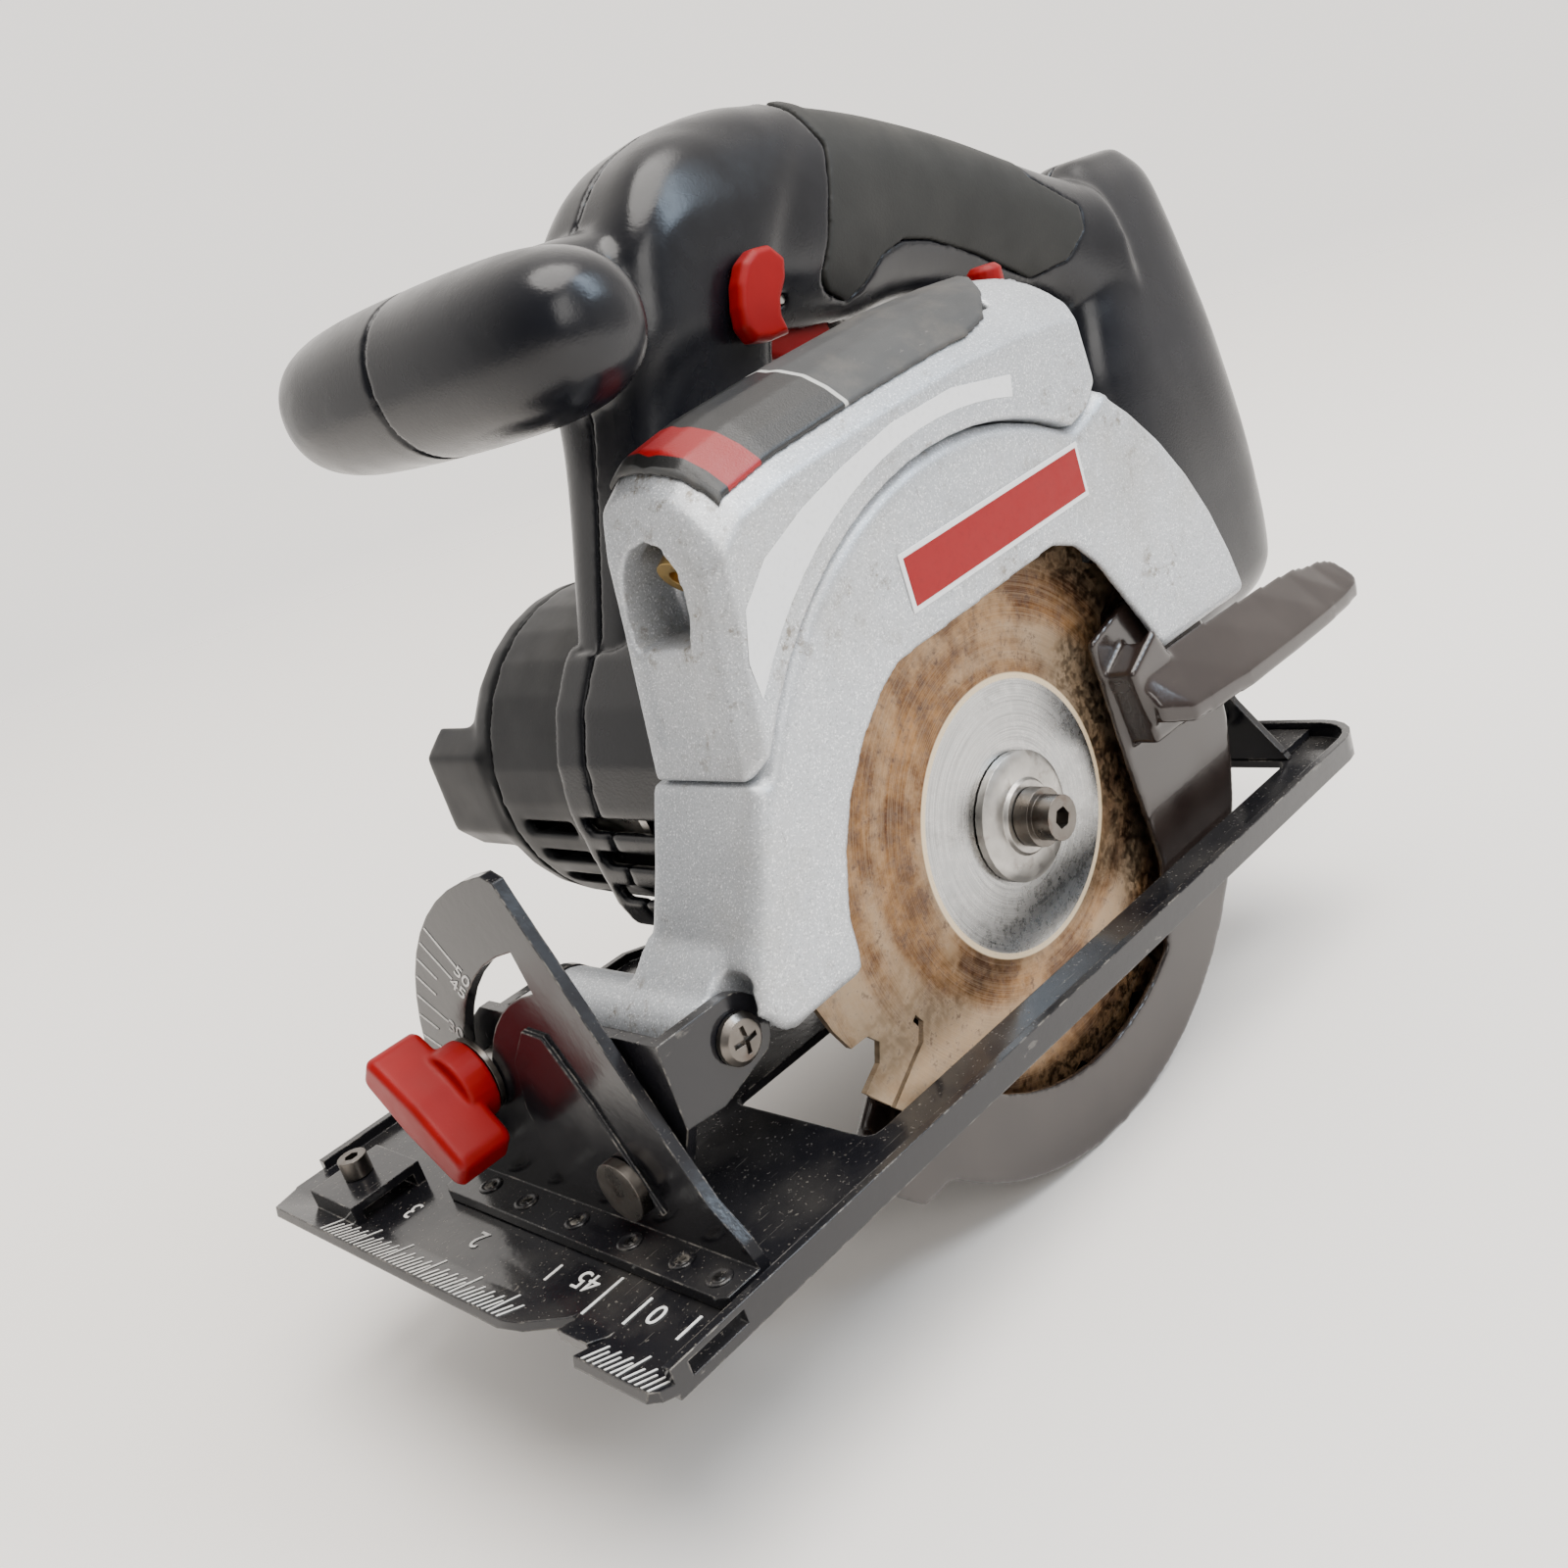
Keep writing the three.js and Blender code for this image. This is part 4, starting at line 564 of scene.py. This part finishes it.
def smooth_skin(lofts, passes):
    """A search tree over the joined and smoothed lofts."""
    bm = bmesh.new()
    for rows, power, place in lofts:
        skin_over(bm, (rounded_ring(row, power, place) for row in smooth_rows(rows)))
    made = remeshed(closed_mesh(bm, "skin"), 1.2, passes)
    return BVHTree.FromPolygons([v.co for v in made.vertices], [p.vertices for p in made.polygons])


HANDLE_SKIN = smooth_skin((
    (STRUT, 4.6, upright), (GRIP, 2.6, lying), (FOOT, 3.6, upright), (NECK, 2.6, lying),
    (SWELL, 2.2, across),
), 14)


def moulded(node, proud, voxel, reach):
    """A part of the handle with its outer faces drawn on to the smooth skin, and stood proud of it."""
    def drawn(point, own):
        place, normal, _, _ = HANDLE_SKIN.find_nearest(point, reach)
        agree = own.dot(normal) if place is not None else 0.0
        if agree <= 0.5:
            return point
        return point.lerp(place + normal * proud, min(1.0, (agree - 0.5) / 0.3))

    reshape(node, voxel, 3, drawn, 2)


moulded("left_shell", 0.0, 0.9, 1.5 * MM)
moulded("right_shell", 0.0, 0.9, 1.5 * MM)
moulded("grip_left", 0.25 * MM, 0.6, 1.3 * MM)
moulded("grip_right", 0.25 * MM, 0.6, 1.3 * MM)

# ---- Lower guard: its faceted arcs about the arbor become true circles ----

GUARD_RADII = (76.5 * MM, 74.3 * MM)


def on_circles(point, own):
    """A point on an arc's face moves out or in to its circle; others stay."""
    offset = Vector((point.x - ARBOR.x, 0, point.z - ARBOR.z))
    reach = offset.length
    moved = point.copy()
    if reach > 0 and abs(own.dot(offset)) > 0.9 * reach:
        for radius in GUARD_RADII:
            if -0.45 * MM < reach - radius < 0.25 * MM:
                moved += offset * (radius / reach - 1)
    return moved


reshape("lower_guard", 0.7, 3, on_circles, 3)

# ---- Printed marks and figures ----

PRINT_LIFT = 0.06 * MM
PRINT_THICK = 0.12 * MM
OUTWARD = Vector((0.6, 0, 0.8))
BOX_FACES = ((0, 1, 2, 3), (4, 5, 6, 7), (0, 1, 5, 4), (1, 2, 6, 5), (2, 3, 7, 6), (3, 0, 4, 7))


def marks(name, strips):
    """White printed bars on the shoe: each strip is its start, its end and a half-width vector."""
    bm = bmesh.new()
    for start, end, half in strips:
        normal = (end - start).cross(half).normalized()
        if normal.dot(OUTWARD) < 0:
            normal.negate()
        low = [start - half, end - half, end + half, start + half]
        verts = [bm.verts.new(p) for p in low] + [bm.verts.new(p + normal * PRINT_THICK) for p in low]
        for face in BOX_FACES:
            bm.faces.new([verts[i] for i in face])
    piece(name, closed_mesh(bm, name), "white_print", "shoe")


def numeral(name, text, size, place, right, up):
    """A white printed figure on the shoe."""
    curve = bpy.data.curves.new(name, "FONT")
    curve.body = text
    curve.size = size
    curve.align_x = "CENTER"
    curve.align_y = "CENTER"
    curve.extrude = 0.06 * MM
    maker = bpy.data.objects.new(name + "_maker", curve)
    bpy.context.scene.collection.objects.link(maker)
    mesh = bpy.data.meshes.new_from_object(maker)
    bpy.data.objects.remove(maker)
    out = right.cross(up)
    turn = Matrix((right, up, out)).transposed().to_4x4()
    mesh.transform(Matrix.Translation(place + out * 0.08 * MM) @ turn)
    mesh.materials.clear()
    piece(name, mesh, "white_print", "shoe")


# Inch scale along the shoe's lip, which slopes down from LIP to the front edge.
_, shoe_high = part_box("shoe_plate")
TOP = 2.0 * MM
LIP = shoe_high.x - 8.4 * MM
SLOPE = 2.8 / 7.7
INCH = 25.4
LIP_MARGIN = 0.9 * MM
LIP_LEAN = Vector((0, 1.2 * MM, 0))
LIP_GAP = (-21, 2)
LIP_LONG, LIP_EVEN, LIP_ODD = 7.4 * MM, 5.4 * MM, 4.2 * MM


def lip_point(x, y):
    """A point on the shoe's top near its front lip, in millimetres; y counts from the blade's plane."""
    past = max(0.0, x * MM - LIP)
    return Vector((x * MM, ARBOR.y + y * MM, TOP + past * SLOPE + PRINT_LIFT))


lip_strips = []
for sixteenth in range(-56, 14):
    y = sixteenth * INCH / 16
    if LIP_GAP[0] < y < LIP_GAP[1]:
        continue
    half_inch = sixteenth % 8 == 0
    reach = LIP_LONG if half_inch else LIP_ODD if sixteenth % 2 else LIP_EVEN
    outer_x = (shoe_high.x - LIP_MARGIN) / MM
    inner = lip_point(outer_x - reach / MM, y)
    lip_strips.append((inner - LIP_LEAN if half_inch else inner, lip_point(outer_x, y),
                       Vector((0, 0.22 * MM, 0))))
for y, start, end in ((-10, 121, 131), (0, 122.5, 129.5), (12.7, 122, 128)):
    lip_strips.append((lip_point(start, y), lip_point(end, y), Vector((0, 0.3 * MM, 0))))
marks("lip_scale", lip_strips)

LIP_RIGHT, LIP_UP = Vector((0, -1, 0)), Vector((1, 0, 0))
LIP_FIGURES = (
    ("1", "1", 125.5, -INCH), ("2", "2", 125.5, -2 * INCH), ("3", "3", 125.5, -3 * INCH),
    ("4", "4", 125.5, -4 * INCH), ("45", "45", 124.5, -16.2), ("0", "0", 125, 4.4),
    ("left", "1", 125, 15.6),
)
for label, text, x, y in LIP_FIGURES:
    numeral("lip_figure_" + label, text, 6.4 * MM, lip_point(x, y), LIP_RIGHT, LIP_UP)

# Bevel scale on the quadrant: degrees run from the bottom right up to the top.
quad_low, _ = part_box("bevel_quadrant")
QUAD_FACE = quad_low.x + 2.5 * MM + 0.03 * MM
QUAD_EDGE = 61.4 * MM
DEGREE_STEP = 1.04
NUMBERED = (15, 30, 45, 50)


def quad_point(radius, degree):
    angle = math.radians(180 - degree * DEGREE_STEP)
    return Vector((QUAD_FACE, TILT.y + radius * math.cos(angle), TILT.z + radius * math.sin(angle)))


bevel_strips = []
for degree in range(0, 51, 5):
    length = 9.75 * MM if degree == 0 or degree in NUMBERED else 6 * MM
    inner, outer = quad_point(QUAD_EDGE - length, degree), quad_point(QUAD_EDGE, degree)
    half = (outer - inner).cross(Vector((1, 0, 0))).normalized() * 0.22 * MM
    bevel_strips.append((inner, outer, half))
marks("bevel_scale", bevel_strips)
for degree in NUMBERED:
    middle = quad_point(49.6 * MM, degree - 0.8)
    right = (quad_point(40 * MM, degree) - quad_point(50 * MM, degree)).normalized()
    numeral(f"bevel_figure_{degree}", str(degree), 4.6 * MM, middle, right,
            Vector((1, 0, 0)).cross(right))

# ---- Pressed dimples along the quadrant's foot ----

DIMPLE = ((2.6, 0.0), (2.5, 0.28), (2.1, 0.42), (1.7, 0.34), (1.3, 0.08), (0.7, 0.04))
DIMPLE_SIDES = 28
DIMPLE_PLACES = ((114.8, -60.5), (115.3, -47), (115.2, -30), (115.4, -13.4), (115, 1), (115.5, 11.5))
FOOT_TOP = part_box("bevel_quadrant")[0].z + 2.3 * MM


def dimple(name, x, y):
    """A shallow pressed ring round a hollow, standing on the quadrant's foot."""
    centre = Vector((x * MM, ARBOR.y + y * MM, FOOT_TOP - 0.02 * MM))

    def ring(radius, rise):
        for i in range(DIMPLE_SIDES):
            angle = 2 * math.pi * i / DIMPLE_SIDES
            yield centre + Vector((radius * math.cos(angle), radius * math.sin(angle), rise)) * MM

    bm = bmesh.new()
    skin_over(bm, (ring(*row) for row in DIMPLE))
    mesh = closed_mesh(bm, name)
    mesh.polygons.foreach_set("use_smooth", [True] * len(mesh.polygons))
    piece(name, mesh, "black_paint", "shoe")


for i, (x, y) in enumerate(DIMPLE_PLACES):
    dimple(f"foot_dimple_{i + 1}", x, y)

# ---- Blank plate and label on the blade side ----

def flat_plate(name, outline, base_y, thick, look):
    """A thin plate facing the blade side; its outline is a list of X and Z in millimetres."""
    bm = bmesh.new()
    face = bm.faces.new([bm.verts.new(Vector((x * MM, base_y, z * MM))) for x, z in outline])
    if face.normal.y < 0:
        face.normal_flip()
    made = bmesh.ops.extrude_face_region(bm, geom=[face])
    for item in made["geom"]:
        if isinstance(item, bmesh.types.BMVert):
            item.co.y += thick
    obj = piece(name, closed_mesh(bm, name), look, "saw_head")
    bevel = obj.modifiers.new("bevel", "BEVEL")
    bevel.width = thick * 0.45
    bevel.segments = 2
    bevel.limit_method = "ANGLE"


PLATE_RIGHT, PLATE_LEFT, PLATE_TOP, PLATE_BOTTOM = 23.6, -38.2, 99.8, 88.1
PLATE_DROP = 3.2 / 62


def slanted(inset):
    """The nameplate's outline, drawn in by the inset; its top and bottom rise towards the rear."""
    right, left = PLATE_RIGHT - inset, PLATE_LEFT + inset
    top, bottom = PLATE_TOP - inset, PLATE_BOTTOM + inset
    rise = {x: (PLATE_RIGHT - x) * PLATE_DROP for x in (right, left)}
    return [(right, top + rise[right]), (left, top + rise[left]),
            (left, bottom + rise[left]), (right, bottom + rise[right])]


guard_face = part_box("upper_guard")[1].y
housing_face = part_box("laser_housing")[1].y
flat_plate("nameplate_border", slanted(0), guard_face - 0.02 * MM, 0.35 * MM, "label_white")
flat_plate("nameplate_field", slanted(1.1), guard_face + 0.3 * MM, 0.15 * MM, "label_red")


def around(radius, degree):
    turn = math.radians(degree)
    return (ARBOR.x / MM + radius * math.cos(turn), ARBOR.z / MM + radius * math.sin(turn))


LABEL_OUTER = (
    (86.5, 40), (91, 43), (95, 48), (95.2, 54), (93, 62), (91.2, 70), (90.4, 80), (90.4, 92),
    (90.6, 104),
)
LABEL_INNER = [(86.2, degree) for degree in range(104, 39, -4)]
flat_plate("info_label", [around(r, a) for r, a in (*LABEL_OUTER, *LABEL_INNER)],
           housing_face - 0.02 * MM, 0.12 * MM, "label_white")

# ---- CAD nodes: materials, and softened or crisp edges ----

SPECIAL = {"laser_cover": "strip_plastic"}
# Cast and moulded nodes: voxel size in millimetres and smoothing passes.
MOULDED = {
    "upper_guard": (0.8, 9), "laser_housing": (0.65, 6), "bevel_knob": (0.45, 5),
    "trigger": (0.5, 5), "lock_off": (0.4, 7), "depth_lever": (0.5, 5), "end_cap": (1.0, 8),
    "motor_housing": (0.8, 3), "laser_cover": (0.5, 4), "laser_button": (0.35, 4),
}
for name, obj in nodes.items():
    mesh = obj.data
    mesh.materials.clear()
    mesh.materials.append(LOOK[SPECIAL.get(name, slot_of[name])])
    if "custom_normal" in mesh.attributes:
        mesh.attributes.remove(mesh.attributes["custom_normal"])
    mesh.polygons.foreach_set("use_smooth", [True] * len(mesh.polygons))
    if obj.hide_render:
        continue
    if name in MOULDED:
        soften(obj, *MOULDED[name])
    else:
        crisp(obj)

# ---- Floor: a pale disc that fades into the world ----

FLOOR_RADIUS = 4.0
FADE_START, FADE_END = 0.6, 2.2
low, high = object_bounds()
floor_mesh = bpy.data.meshes.new("floor")
bm = bmesh.new()
bmesh.ops.create_circle(bm, cap_ends=True, segments=96, radius=FLOOR_RADIUS)
bm.to_mesh(floor_mesh)
floor = bpy.data.objects.new("floor", floor_mesh)
bpy.context.scene.collection.objects.link(floor)
floor.location = (0, ARBOR.y, low.z - 0.2 * MM)
g = Graph("floor")
from_middle = g.new("ShaderNodeVectorMath", operation="LENGTH")
g.link(g.coord, from_middle.inputs[0])
g.link(g.ramp(from_middle.outputs["Value"], FADE_START, FADE_END, 1.0, 0.0), g.shader.inputs["Alpha"])
g.shader.inputs["Specular IOR Level"].default_value = 0.25
floor_mesh.materials.append(g.finish((0.86, 0.83, 0.795), 0.6))

# ---- World: dim on the near side and bright towards the far wall ----

FAR_WALL = Vector((-0.74, -0.66, 0.1)).normalized()
NEAR_SHADE, FAR_SHADE = (0.26, 0.26, 0.265, 1), (1.75, 1.67, 1.58, 1)
world = bpy.data.worlds.new("room")
bpy.context.scene.world = world
world.use_nodes = True
room = world.node_tree
facing = room.nodes.new("ShaderNodeVectorMath")
facing.operation = "DOT_PRODUCT"
facing.inputs[1].default_value = FAR_WALL
room.links.new(room.nodes.new("ShaderNodeTexCoord").outputs["Generated"], facing.inputs[0])
blend = room.nodes.new("ShaderNodeMapRange")
blend.inputs["From Min"].default_value = -0.7
blend.inputs["From Max"].default_value = 0.85
room.links.new(facing.outputs["Value"], blend.inputs["Value"])
shade = room.nodes.new("ShaderNodeMix")
shade.data_type = "RGBA"
shade.inputs["A"].default_value = NEAR_SHADE
shade.inputs["B"].default_value = FAR_SHADE
room.links.new(blend.outputs["Result"], shade.inputs["Factor"])
room.links.new(shade.outputs["Result"], room.nodes["Background"].inputs["Color"])
room.nodes["Background"].inputs["Strength"].default_value = 1.0

# ---- Lights ----

CENTRE = (low + high) / 2


def aimed(name, kind, offset, power, color):
    """A light that stands off from the middle of the saw and points at it."""
    light = bpy.data.lights.new(name, kind)
    light.energy = power
    light.color = color
    obj = bpy.data.objects.new(name, light)
    bpy.context.scene.collection.objects.link(obj)
    obj.location = CENTRE + Vector(offset)
    obj.rotation_euler = (-Vector(offset)).to_track_quat("-Z", "Y").to_euler()
    return light


def softbox(name, offset, width, height, power, color):
    """A broad rectangular light."""
    light = aimed(name, "AREA", offset, power, color)
    light.shape = "RECTANGLE"
    light.size = width
    light.size_y = height


overhead = aimed("overhead", "SUN", (-0.15, 0.35, 1.2), 4.6, (1.0, 0.965, 0.92))
overhead.angle = math.radians(50)
softbox("window", (-0.55, 0.85, 0.75), 0.3, 0.6, 7, (0.66, 0.82, 1.0))
softbox("blade_side", (0.25, 1.1, 0.5), 0.6, 0.6, 5, (1.0, 0.97, 0.93))

# ---- Camera: at the photograph's viewing angle, in front of the saw and on its blade side ----

EYE = Vector((0.2292, ARBOR.y + 0.2057, 0.1545))
RIGHTWARD = Vector((-0.66549, 0.68108, -0.30537))
UPWARD = Vector((-0.43101, -0.01663, 0.90219))
camera_data = bpy.data.cameras.new("camera")
camera = bpy.data.objects.new("camera", camera_data)
bpy.context.scene.collection.objects.link(camera)
bpy.context.scene.camera = camera
camera_data.sensor_width = 36
camera_data.lens = 35.1
camera_data.clip_start = 0.01
basis = Matrix((RIGHTWARD, UPWARD, RIGHTWARD.cross(UPWARD))).transposed().to_4x4()
camera.matrix_world = Matrix.Translation(EYE) @ basis

bpy.context.view_layer.update()
